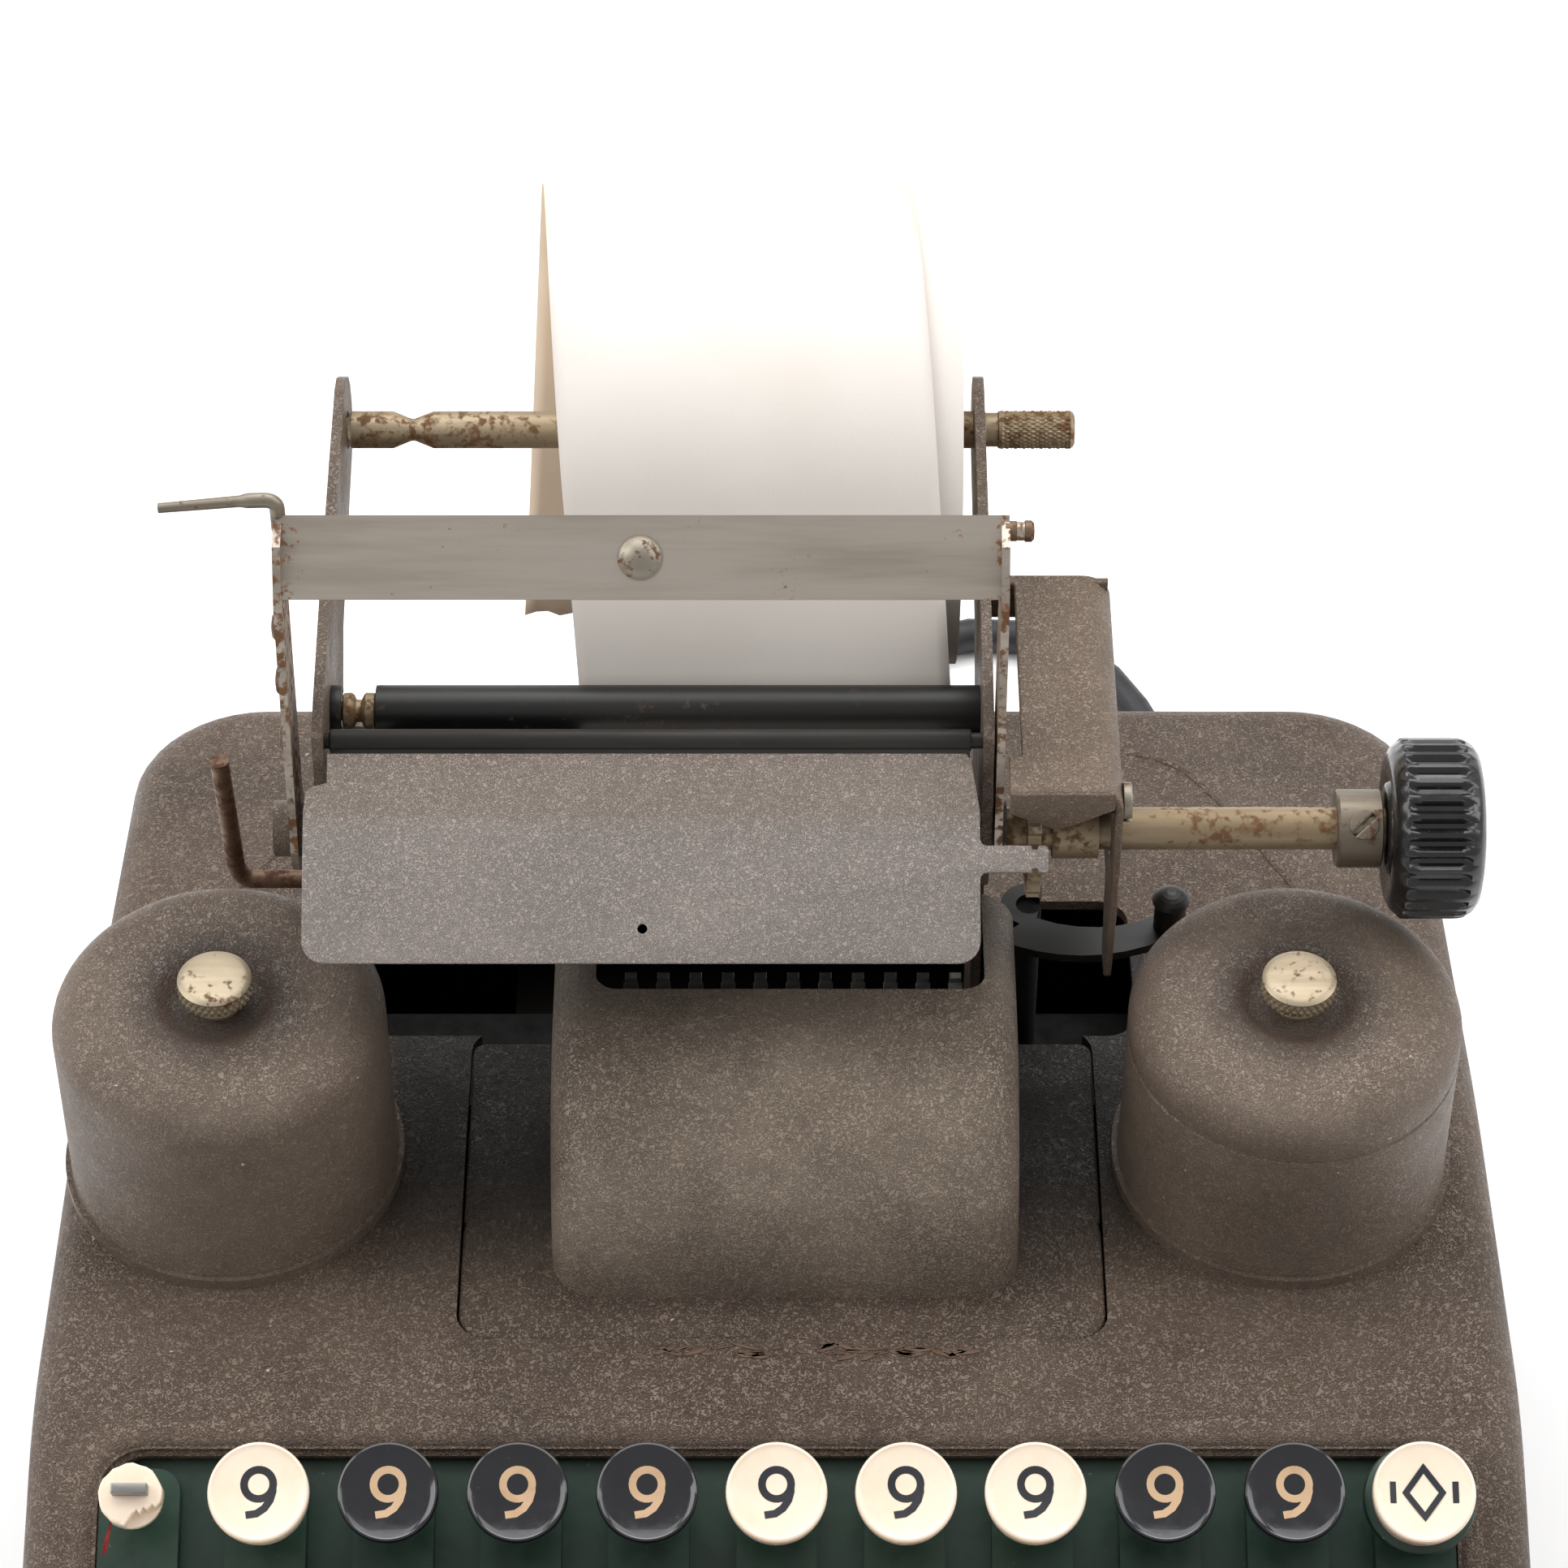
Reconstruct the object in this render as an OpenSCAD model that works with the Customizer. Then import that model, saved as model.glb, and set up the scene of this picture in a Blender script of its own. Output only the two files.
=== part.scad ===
// Full-keyboard electric adding machine with a paper roll, as separate bench pieces.
// Origin: centre of the footprint on the table, +X to the operator's right, +Y to the back.
// Most places are given as (behind, above): millimetres behind the nine row's key centres,
// and millimetres above the nine row's key tops.

/* [Casing] */
// Height of the nine-row key tops above the table
key_z = 132; // [128:1:136]
// Width of the casing at the front
case_w = 230; // [228:1:236]
// How much narrower each side of the casing is at the back
case_taper = 4; // [3:0.5:5]
// Sheet thickness of the casing
case_t = 2; // [1.5:0.25:2.5]

/* [Keyboard] */
// Distance between neighbouring keys, three quarters of an inch
key_pitch = 19.05; // [19:0.05:19.1]
// Slope of the keyboard in degrees
key_tilt = 25; // [24:0.5:26]
// Diameter of a key top
key_d = 15; // [14:0.5:15.5]
// How far a key goes down
key_travel = 4; // [3:0.5:4.5]

/* [Ribbon] */
// Diameter of a ribbon spool cover
cover_d = 51; // [49:0.5:51.5]
// Height of a ribbon spool cover
cover_h = 36; // [34:0.5:37]

/* [Carriage] */
// Diameter of the rubber platen
platen_d = 26; // [24:0.5:26.5]
// Diameter of the platen shaft
shaft_d = 6.5; // [6:0.1:6.8]
// Diameter of the platen knob
knob_d = 27.6; // [26:0.2:29]
// Diameter of the paper roll
roll_d = 75; // [60:1:76]
// Width of the paper, two and a quarter inches
paper_w = 57; // [55:0.5:57.5]

/* [Cord] */
// Diameter of the mains cord
cord_d = 7; // [6:0.5:7]

/* [Hidden] */
$fn = 48;
row9_y = -13.5;                 // Y of the nine row
front_y = row9_y - 165;         // front of the casing
back_y = row9_y + 183;          // back of the casing
pan_z = 6;                      // underside of the base pan
pan_t = 2;
case_z = pan_z + pan_t;         // lower edge of the casing
lip_h = 13;                     // keyboard border below the key tops, square to the slope
shelf_z = key_z - 5;            // flat shelf under the spool covers
bend_y = row9_y + 82;           // where the shelf starts to fall to the back
back_drop = 13;                 // how far it falls
screw_x = [-108, 108];          // screws up through the base pan into lugs on the casing
screw_y = [-140, 130];
screw_r = 1.6;
lug_h = 6;
front_r = 12;
back_r = 14;
corner_r = 22;
rows = 9;
cols = 9;
well_x = 101.5;                 // half width of the keyboard well
well_back = 9;                  // well edges along the slope from the nine row
well_front = -(rows - 1) * key_pitch - 12;
ridge_w = 12;
ridge_h = 3.8;
plate_w = -18.5;                // underside of the keyboard plate, square to the slope
plate_t = 1.5;
stem_x = 4.4;
stem_y = 1.2;
cap_h = 5.5;
func_x = 5 * key_pitch;         // function key columns
spool_x = [-85, 79];
spool_y = row9_y + 68;
disc_t = 2;                     // base disc of a spool post
post_r = 2;
fit = 0.08;                     // radial clearance of a running fit
cover_z = shelf_z + disc_t;
hood_x = [-34.5, 37];
slot_x = [-27.8, 31.9];
hood_t = 1.6;
hood_r = 35;
bar_pitch = 5;
bar_count = 11;
bar_x0 = -22.5;
plate_x = [-69.6, 31];          // outer face of the left plate, inner face of the right plate
side_t = 1.6;
axis_y = row9_y + 90.1;         // platen axis
axis_z = key_z + 46.6;
boss_r = 4.3;
knob_x = 92.5;                  // inner face of the platen knob
shaft_end = knob_x + 13;
collar_l = 7.2;
guide_y = row9_y + 103;         // paper guide bar
guide_z = key_z + 59.1;
guide_r = 3.95;
rod_y = row9_y + 155;           // paper roll rod
rod_z = key_z + 70;
rod_r = 2.95;
hinge_y = row9_y + 91;          // front flap hinge
hinge_z = key_z + 64.8;
bail_r = 49.4;                  // bail strip above the platen axis
bail_back = 7.9;                // bail strip behind the platen axis
bail_x = [-73.8, 34.2];
bail_tilt = 44;                 // the strip leans back to face the operator
release_x = -86.2;              // upright part of the release lever
strip_t = 0.4;                  // printed strip
gap = 0.25;                     // strip clear of what it passes
gear_y = row9_y + 98;
gear_z = 60;
gear_teeth = 50;
pinion_teeth = 12;
gear_module = 45 / ((gear_teeth + pinion_teeth) / 2);
gear_x = [60, 66];
frame_x = 103.5;                // inner face of a side frame
frame_t = 2;
exit_x = 82;                    // mains cord
exit_z = 30;
relief_l = 30;
coil_x = -29.4;                 // coil of spare cord behind the casing
coil_y = 220;
coil_in = 26.5;
coil_out = 47.5;
coil_h = 3 * cord_d;
plug_x = coil_x - 4;            // tail end of the plug, lying on the coil
plug_y = coil_y - 37;
prong_gap = 6.35;               // half the distance between the prongs

// Y and Z of a place behind and above the nine row's key tops
function at(d) = row9_y + d;
function up(h) = key_z + h;
function spot(p) = [at(p[0]), up(p[1])];
// Points along an arc of a circle
function arc(c, r, a0, a1, n = 8) =
    [for (i = [0:n]) let (a = a0 + (a1 - a0) * i / n) [c[0] + r * cos(a), c[1] + r * sin(a)]];
// Outline of a rectangle with round corners
function round_rect(x0, y0, x1, y1, r) = concat(
    arc([x1 - r, y1 - r], r, 0, 90, 6), arc([x0 + r, y1 - r], r, 90, 180, 6),
    arc([x0 + r, y0 + r], r, 180, 270, 6), arc([x1 - r, y0 + r], r, 270, 360, 6));

// Extrudes an outline of (y, z) points from x0 to x1
module along_x(x0, x1) {
    translate([x0, 0, 0]) rotate([90, 0, 90]) linear_extrude(x1 - x0) children();
}
module rod_x(x0, x1, y, z, r) {
    translate([x0, y, z]) rotate([0, 90, 0]) cylinder(h = x1 - x0, r = r);
}
module post(x, y, z0, z1, r) {
    translate([x, y, z0]) cylinder(h = z1 - z0, r = r);
}
// The keyboard's own frame: x, up the slope, and out of the slope
module on_slope() {
    translate([0, row9_y, key_z]) rotate([key_tilt, 0, 0]) children();
}

// ---- casing and frame ----
// Height of the sloping keyboard border at y
function border_z(y) =
    key_z - lip_h * cos(key_tilt) + (y - row9_y - lip_h * sin(key_tilt)) * tan(key_tilt);
// Side outline of the casing, t inside its outer face
function case_profile(t) =
    let (fy = front_y + front_r,
         fz = border_z(fy) - front_r / cos(key_tilt),
         by = back_y - back_r,
         fall = atan(back_drop / (back_y - 1.5 - bend_y)),
         bz = shelf_z - (by - bend_y) * tan(fall) - back_r / cos(fall),
         crest = (shelf_z - border_z(0)) / tan(key_tilt))
    concat([[front_y + t, case_z]],
        arc([fy, fz], front_r - t, 180, 90 + key_tilt),
        [[crest + t * tan(key_tilt / 2), shelf_z - t], [bend_y, shelf_z - t]],
        arc([by, bz], back_r - t, 90 - fall, 0),
        [[back_y - t, case_z]]);
// Plan outline of the casing, t inside its outer face
function case_plan(t) =
    let (f = case_w / 2 - t, b = case_w / 2 - case_taper - t, r = corner_r - t)
    concat(arc([b - r, back_y - corner_r], r, 0, 90), arc([r - b, back_y - corner_r], r, 90, 180),
        arc([front_r - t - f, front_y + front_r], front_r - t, 180, 270, 5),
        arc([f + t - front_r, front_y + front_r], front_r - t, 270, 360, 5));

module case_form(t, low) {
    intersection() {
        along_x(-case_w / 2, case_w / 2) polygon(case_profile(t));
        translate([0, 0, low]) linear_extrude(key_z) polygon(case_plan(t));
    }
}
module case_shell() {
    color("#74685c") difference() {
        case_form(0, case_z);
        difference() {
            case_form(case_t, case_z - 1);
            for (x = screw_x, y = screw_y)
                translate([sign(x) * 110.5 - 4.8, y - 5, case_z]) cube([9.6, 10, lug_h]);
        }
        translate([0, 0, case_z - 1]) linear_extrude(1) polygon(case_plan(case_t));
        for (x = screw_x, y = screw_y) post(x, y, case_z - 1, case_z + lug_h + 1, screw_r + 0.05);
        on_slope() translate([0, 0, -lip_h - 6]) linear_extrude(16)
            polygon(round_rect(-well_x, well_front, well_x, well_back, 7));
        translate([0, 0, up(-30)]) linear_extrude(40)
            polygon(round_rect(-49, at(32), 50.6, at(96), 5));
        translate([0, 0, up(-40)]) linear_extrude(50)
            polygon(round_rect(-77, at(94.5), 58, at(128), 5));
        for (x = spool_x) post(x, spool_y, up(-12), up(0), 4.3);
        translate([exit_x, back_y - 5, exit_z]) rotate([-90, 0, 0]) cylinder(h = 10, r = 5.1);
    }
}
module base_pan() {
    color("#3a3a38") difference() {
        translate([0, 0, pan_z]) linear_extrude(pan_t) polygon(case_plan(0.6));
        for (x = screw_x, y = screw_y) post(x, y, pan_z - 1, case_z + 1, screw_r + 0.1);
    }
}
module case_screws() {
    color("#a8a498") for (x = screw_x, y = screw_y) {
        post(x, y, pan_z - 2, pan_z, 2 * screw_r);
        post(x, y, pan_z - 1, case_z + lug_h, screw_r);
    }
}
module rubber_feet() {
    color("#262524") for (x = [-94, 94], y = [-158, 145])
        translate([x, y, 0]) rotate_extrude()
            polygon([[0, 0], [8.5, 0], [10, 1.5], [10, pan_z], [0, pan_z]]);
}
module side_frames() {
    outline = [[-168, case_z], [-168, 33], [-8, 108], [90, 108], [150, 98], [158, 60],
        [158, case_z]];
    color("#8f918f") for (x = [-frame_x - frame_t, frame_x]) difference() {
        along_x(x, x + frame_t) polygon(outline);
        rod_x(x - 1, x + frame_t + 1, gear_y, gear_z, 4 + fit);
        rod_x(x - 1, x + frame_t + 1, at(46), 75, 3 + fit);
        for (p = [[-155, 22], [-60, 30], [150, 16]])
            rod_x(x - 1, x + frame_t + 1, p[0], p[1], 3);
    }
}
module tie_rods() {
    color("#9a9a96") for (p = [[-155, 22], [-60, 30], [150, 16]])
        rod_x(-frame_x - frame_t, frame_x + frame_t, p[0], p[1], 3);
}

// ---- keyboard ----
function row_v(row) = -(rows - row) * key_pitch;
// Key slots: every digit key, and the function keys that exist
key_spots = concat(
    [for (c = [-(cols - 1) / 2:(cols - 1) / 2], r = [1:rows]) [c * key_pitch, row_v(r)]],
    [for (r = [9, 7, 5]) [-func_x, row_v(r)]],
    [for (r = [9, 8, 5, 2]) [func_x, row_v(r)]]);

module slots() {
    for (p = key_spots) translate(p) square([stem_x + 1.2, stem_y + 1], center = true);
}
module keyboard_plate() {
    color("#33443c") on_slope() translate([0, 0, plate_w]) {
        linear_extrude(plate_t) difference() {
            polygon(round_rect(-frame_x + 0.3, well_front - 2, frame_x - 0.3, well_back + 2, 2));
            slots();
        }
        translate([0, 0, plate_t]) linear_extrude(ridge_h) difference() {
            for (c = [-5:5]) polygon(round_rect(c * key_pitch - ridge_w / 2, well_front + 4,
                c * key_pitch + ridge_w / 2, well_back - 3, 3.5));
            slots();
        }
    }
}
module key_top(r) {
    dish = arc([0, 4 * r - 0.9], 4 * r, 270, 284, 4);
    rotate_extrude() polygon(concat(dish, [[r * 0.98, 0], [r, -0.8], [r - 0.5, -cap_h],
        [0, -cap_h]]));
}
module stem() {
    translate([-stem_x / 2, -stem_y / 2, -30]) cube([stem_x, stem_y, 30 - cap_h]);
}
module key_at(x, row) {
    on_slope() translate([x, row_v(row), 0]) {
        key_top(key_d / 2);
        stem();
    }
}
module keys_row(row) {
    shades = ["#e8dac6", "#201f22", "#201f22", "#201f22", "#e8dac6", "#e8dac6", "#e8dac6",
        "#201f22", "#201f22"];
    for (c = [0:cols - 1]) color(shades[c]) key_at((c - (cols - 1) / 2) * key_pitch, row);
}
module subtotal_key() {
    color("#e8dac6") key_at(func_x, 9);
    color("#33443c") on_slope() translate([func_x, 0, -cap_h - 1.5])
        rotate_extrude() polygon([[0, 0], [8.2, 0], [8.4, 0.8], [7.6, 1.8], [0, 1.8]]);
}
module total_key() { color("#a5302a") key_at(func_x, 8); }
module error_key() { color("#e8dac6") key_at(-func_x, 7); }
module repeat_key() { color("#e8dac6") key_at(-func_x, 5); }
module broken_key() {
    color("#e2d4bf") on_slope() translate([-func_x, 0, -2]) difference() {
        translate([0, 0, -3.5]) cylinder(h = 3.5, r = 4.8);
        translate([-1, -6, -2]) cube([8, 4.5, 3]);
    }
    color("#b9b7b0") on_slope() translate([-func_x, 0, 0]) {
        translate([-2.7, -0.8, -8]) cube([5.4, 1.6, 8]);
        stem();
    }
}
module motor_bar() {
    color("#e8dac6") on_slope() translate([func_x, 0, 0]) {
        translate([0, 0, -cap_h]) linear_extrude(cap_h)
            polygon(round_rect(-key_d / 2, row_v(1) - 7, key_d / 2, row_v(6) + 7, 3));
        for (r = [2, 5]) translate([0, row_v(r), 0]) stem();
    }
}

// ---- printing hood and type ----
function hood_profile(t) = concat([spot([39 + t, -8 - t]), spot([39 + t, -6])],
    [for (p = arc([74, -6], hood_r - t, 180, 90, 12)) spot(p)],
    [spot([93 + t, 29 - t]), spot([93 + t, -8 - t])]);

module printing_hood() {
    color("#7c7063") difference() {
        union() {
            along_x(hood_x[0], hood_x[1]) polygon(hood_profile(0));
            translate([0, 0, shelf_z - case_t - hood_t]) linear_extrude(hood_t)
                polygon(round_rect(-53, at(28), 54.6, at(58), 3));
        }
        along_x(hood_x[0] + hood_t, hood_x[1] - hood_t) polygon(hood_profile(hood_t));
        translate([0, 0, up(20)]) linear_extrude(15)
            polygon(round_rect(slot_x[0], at(73), slot_x[1], at(100), 3));
    }
}
module type_bars() {
    color("#8a8880") for (i = [0:bar_count - 1])
        translate([bar_x0 + i * bar_pitch - 0.9, at(75.5), up(-45)]) cube([1.8, 3.5, 71]);
}

// ---- ribbon ----
module spool_cover(x) {
    r = cover_d / 2;
    e = 5.5;
    t = 0.9;
    color("#7b6f62") translate([x, spool_y, cover_z]) rotate_extrude() polygon(concat(
        [[r - t, 0], [r, 0]], arc([r - e, cover_h - e], e, 0, 90, 6),
        [[8.2, cover_h], [7.2, cover_h - 1.8], [2.4, cover_h - 1.8], [2.4, cover_h - 1.8 - t],
        [7.6, cover_h - 1.8 - t], [8.6, cover_h - t]],
        arc([r - e, cover_h - e], e - t, 90, 0, 6)));
}
module spool_cover_left() { spool_cover(spool_x[0]); }
module spool_cover_right() { spool_cover(spool_x[1]); }
post_top = cover_z + cover_h + 4.2;
module spool_posts() {
    color("#8d8778") for (x = spool_x) {
        post(x, spool_y, shelf_z, cover_z, cover_d / 2 + 1);
        post(x, spool_y, shelf_z - 9, shelf_z + 1, 4);
        post(x, spool_y, cover_z - 1, post_top, post_r);
    }
}
module cover_nut(x) {
    color("#b7a98e") translate([x, spool_y, cover_z + cover_h - 1.7]) difference() {
        rotate_extrude() polygon([[0, 0], [3.4, 0], [3.4, 2.8], [5.4, 2.8], [5.8, 3.2],
            [5.8, 5.4], [5.2, 6], [2.6, 6.2], [0, 6.2]]);
        translate([0, 0, -1]) cylinder(h = 7, r = post_r + fit);
    }
}
module cover_nut_left() { cover_nut(spool_x[0]); }
module cover_nut_right() { cover_nut(spool_x[1]); }
// A spool with its wound ribbon of radius w
module ribbon_spool(x, w) {
    color("#2c2b33") translate([x, spool_y, cover_z + 2.5]) difference() {
        union() {
            cylinder(h = 1, r = 22);
            translate([0, 0, 27]) cylinder(h = 1, r = 22);
            translate([0, 0, 0.5]) cylinder(h = 27, r = w);
        }
        translate([0, 0, -1]) cylinder(h = 30, r = post_r + fit);
    }
}
module ribbon_spool_left() { ribbon_spool(spool_x[0], 18); }
module ribbon_spool_right() { ribbon_spool(spool_x[1], 12); }

// ---- drive ----
// Points of a spur gear: thin trapezoid teeth with running clearance
function gear_points(teeth, m, turn) =
    let (p = 360 / teeth, r = teeth * m / 2)
    [for (i = [0:teeth - 1], q = [[-0.30, -1.15], [-0.12, 0.75], [0.12, 0.75], [0.30, -1.15]])
        let (a = turn + (i + q[0]) * p, d = r + q[1] * m) [d * cos(a), d * sin(a)]];

module motor() {
    color("#4a4c4e") {
        rod_x(-45, 40, gear_y + 45, gear_z, 29);
        translate([-35, gear_y + 29, case_z]) cube([65, 32, 30]);
    }
}
module motor_pinion() {
    color("#a3a19a") {
        rod_x(40, 70, gear_y + 45, gear_z, 3);
        translate([0, gear_y + 45, gear_z]) along_x(gear_x[0], gear_x[1])
            polygon(gear_points(pinion_teeth, gear_module, 180 / pinion_teeth));
    }
}
module drive_shaft() {
    color("#a3a19a") {
        rod_x(-frame_x - 3, frame_x + 3, gear_y, gear_z, 4);
        translate([0, gear_y, gear_z]) along_x(gear_x[0], gear_x[1])
            polygon(gear_points(gear_teeth, gear_module, 0));
        for (x = [-90, -30, 30, 90]) rod_x(x - 2, x + 2, gear_y, gear_z, 11);
    }
}
module register_shaft() {
    color("#a3a19a") rod_x(-frame_x - 3, frame_x + 3, at(46), 75, 3);
}
module register_wheels() {
    color("#8c7a4c") for (i = [0:bar_count - 1]) {
        x = bar_x0 + i * bar_pitch;
        difference() {
            translate([0, at(46), 75]) along_x(x - 1.5, x + 1.5)
                polygon(gear_points(20, 1.2, 0));
            rod_x(x - 2, x + 2, at(46), 75, 3 + fit);
        }
    }
}

// ---- carriage ----
side_outline = concat(
    [for (p = [[100, -28], [118, -28], [118, 46], [127, 54], [150, 60.5]]) spot(p)],
    arc([rod_y, rod_z], 8.5, -60, 90, 6),
    [for (p = [[140, 77], [113, 73.5], [95, 70], [88.4, 68], [87.5, 61], [85.5, 58],
        [85.5, 46], [90, 34], [100, 24]]) spot(p)]);

module carriage_bed() {
    color("#6f6f6b") {
        translate([-frame_x, at(98), up(-34)]) cube([2 * frame_x, 20, 6]);
        post(40, at(102), up(-29), up(15.5), 2);
    }
}
module carriage_plate(x0, boss0, boss1) {
    difference() {
        union() {
            along_x(x0, x0 + side_t) polygon(side_outline);
            rod_x(boss0, boss1, axis_y, axis_z, boss_r);
        }
        rod_x(boss0 - 1, boss1 + 1, axis_y, axis_z, shaft_d / 2 + fit);
        rod_x(x0 - 1, x0 + side_t + 1, rod_y, rod_z, rod_r + 0.1);
        rod_x(x0 - 1, x0 + side_t + 1, hinge_y, hinge_z, 1.2);
        rod_x(x0 - 1, x0 + side_t + 1, at(108), up(16), 1.6);
    }
}
module carriage_plate_left() {
    color("#776b5e") carriage_plate(plate_x[0], plate_x[0] - 7, plate_x[0] + side_t);
}
module carriage_plate_right() {
    color("#776b5e") carriage_plate(plate_x[1], plate_x[1], plate_x[1] + side_t + 2.4);
}
module platen() {
    color("#1f1f20") difference() {
        rod_x(-60, 27, axis_y, axis_z, platen_d / 2);
        rod_x(-61, 28, axis_y, axis_z, shaft_d / 2);
    }
}
module platen_shaft() {
    color("#8a7259") {
        rod_x(plate_x[0] - 6, shaft_end, axis_y, axis_z, shaft_d / 2);
        translate([0, axis_y, axis_z]) along_x(38, 40) polygon(gear_points(16, 1.2, 0));
        rod_x(42, 49, axis_y, axis_z, 4.6);
    }
}
module knob_collar() {
    color("#9b8f7c") difference() {
        rod_x(knob_x - collar_l, knob_x, axis_y, axis_z, 6);
        rod_x(knob_x - collar_l - 1, knob_x + 1, axis_y, axis_z, shaft_d / 2);
    }
}
module platen_knob() {
    r = knob_d / 2;
    color("#242426") translate([knob_x, axis_y, axis_z]) rotate([0, 90, 0]) difference() {
        rotate_extrude() polygon([[0, 0], [r - 1.6, 0], [r, 1.4], [r, 12], [r - 2, 14.4],
            [0, 15]]);
        translate([0, 0, -1]) cylinder(h = 14, r = shaft_d / 2);
    }
}
module ratchet_cover() {
    t = 1.2;
    x0 = 34.8;
    x1 = 52;
    color("#8a7a6b") difference() {
        union() {
            translate([x0, at(81), up(64 - t)]) cube([x1 - x0, 47, t]);
            along_x(x1 - t, x1) polygon([for (p = [[81, 64], [128, 64], [128, 44], [110, 35],
                [92, 35], [89, 20], [83.5, 20], [81, 37]]) spot(p)]);
            translate([plate_x[1] + side_t, at(128 - t), up(56)])
                cube([x1 - plate_x[1] - side_t, t, 8]);
            translate([0, at(81 + t), 0]) rotate([90, 0, 0]) linear_extrude(t)
                polygon([[x0, up(64)], [x1, up(64)], [x1, up(60)], [40, up(57)],
                    [x0, up(60)]]);
        }
        rod_x(x0, x1 + 1, axis_y, axis_z, shaft_d / 2 + 0.4);
    }
}

// ---- paper path ----
flap_pts = [[89, 63.3], [78.9, 59.5], [62, 47]];
module front_flap() {
    t = 0.9;
    color("#9b938a") difference() {
        union() {
            along_x(-67.4, 30.4) polygon([for (p = [flap_pts[0], [84, 61.4], [84, 61.4 - t],
                flap_pts[0] - [0, t]]) spot(p)]);
            along_x(-70.8, 30.4) polygon([for (p = [[84.5, 61.6], flap_pts[1], flap_pts[2],
                flap_pts[2] - [0, t], flap_pts[1] - [0, t], [84.5, 61.6 - t]]) spot(p)]);
            along_x(30.4, 40.6) polygon([for (p = [[75.3, 56.8], [71.3, 53.9], [71.3, 53.9 - t],
                [75.3, 56.8 - t]]) spot(p)]);
            for (x = [-60, 16]) hull() {
                rod_x(x, x + 10, hinge_y, hinge_z, 2.1);
                rod_x(x, x + 10, hinge_y - 4.5, hinge_z - 2.6, 0.5);
            }
        }
        for (x = [-60, 16]) rod_x(x - 1, x + 11, hinge_y, hinge_z, 1.2 + fit);
    }
}
module hinge_rod() { color("#4e5459") rod_x(plate_x[0], plate_x[1] + side_t, hinge_y, hinge_z, 1.2); }
module guide_bar() {
    r = guide_r;
    notch = [-66.3, -61.1];
    x0 = plate_x[0] + side_t;
    shape = concat(arc([guide_y, guide_z], r, 20, 265, 14),
        arc([guide_y, guide_z], r - 0.8, 265, 20, 14));
    color("#1d1d1e") {
        along_x(x0, notch[0]) polygon(shape);
        along_x(notch[1], plate_x[1]) polygon(shape);
        along_x(notch[0], notch[1]) polygon(concat(arc([guide_y, guide_z], r, 225, 265, 4),
            arc([guide_y, guide_z], r - 0.8, 265, 225, 4)));
    }
}
module feed_rod() {
    x0 = plate_x[0] + side_t;
    color("#8a7a5c") {
        rod_x(x0, plate_x[1], guide_y, guide_z, 1.5);
        for (x = [x0 + 2, x0 + 5.2]) rod_x(x, x + 1.6, guide_y, guide_z, 2.7);
        rod_x(x0 + 9, plate_x[1] - 1, guide_y, guide_z, 2.4);
    }
}
module paper_bail() {
    t = 1.2;
    half = 6.2;
    color("#989088") difference() {
        union() {
            for (x = [bail_x[0], bail_x[1] - t]) along_x(x, x + t) polygon(concat(
                arc([axis_y, axis_z], 6.4, 150, 390, 12),
                [[axis_y + bail_back + 4, axis_z + bail_r - 4],
                [axis_y + bail_back + 4.5, axis_z + bail_r + 4.3],
                [axis_y + bail_back - 1, axis_z + bail_r + 3],
                [axis_y + bail_back - 6, axis_z + bail_r - 5]]));
            translate([bail_x[0], axis_y + bail_back, axis_z + bail_r]) rotate([bail_tilt, 0, 0])
                translate([0, -half, -t / 2]) cube([bail_x[1] - bail_x[0], 2 * half, t]);
            rod_x(bail_x[1] - 1, bail_x[1] + 3.2, axis_y + bail_back + 3,
                axis_z + bail_r + 2.5, 1.4);
        }
        for (x = [bail_x[0], bail_x[1] - t])
            rod_x(x - 1, x + t + 1, axis_y, axis_z, boss_r + fit);
    }
}
module bail_rivet() {
    color("#b3aca2") translate([-20, axis_y + bail_back, axis_z + bail_r]) rotate([bail_tilt, 0, 0])
        translate([0, 0, 0.6]) rotate_extrude()
            polygon(concat([[0, 0], [3.3, 0]], arc([0, -2.7], 4.27, 39, 90, 6)));
}
module bail_lever() {
    color("#9a8f80") {
        translate([-90.5, axis_y + bail_back + 5, axis_z + bail_r + 4.6]) cube([18, 1, 2.6]);
        translate([bail_x[0], axis_y + bail_back + 4.9, axis_z + bail_r + 1]) cube([2.6, 1.6, 5]);
    }
}
module roll_rod() {
    color("#86745c") {
        rod_x(plate_x[0] + side_t + 0.3, -58.7, rod_y, rod_z, rod_r);
        rod_x(plate_x[0], -55, rod_y, rod_z, 1.9);
        rod_x(-56.5, 47, rod_y, rod_z, rod_r);
        rod_x(35.5, 46.7, rod_y, rod_z, rod_r + 0.15);
    }
}
module paper_roll() {
    color("#f4efe6") difference() {
        rod_x(-paper_w / 2 - 0.5, paper_w / 2 - 0.5, rod_y, rod_z, roll_d / 2);
        rod_x(-paper_w, paper_w, rod_y, rod_z, rod_r + 0.05);
    }
}
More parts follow.
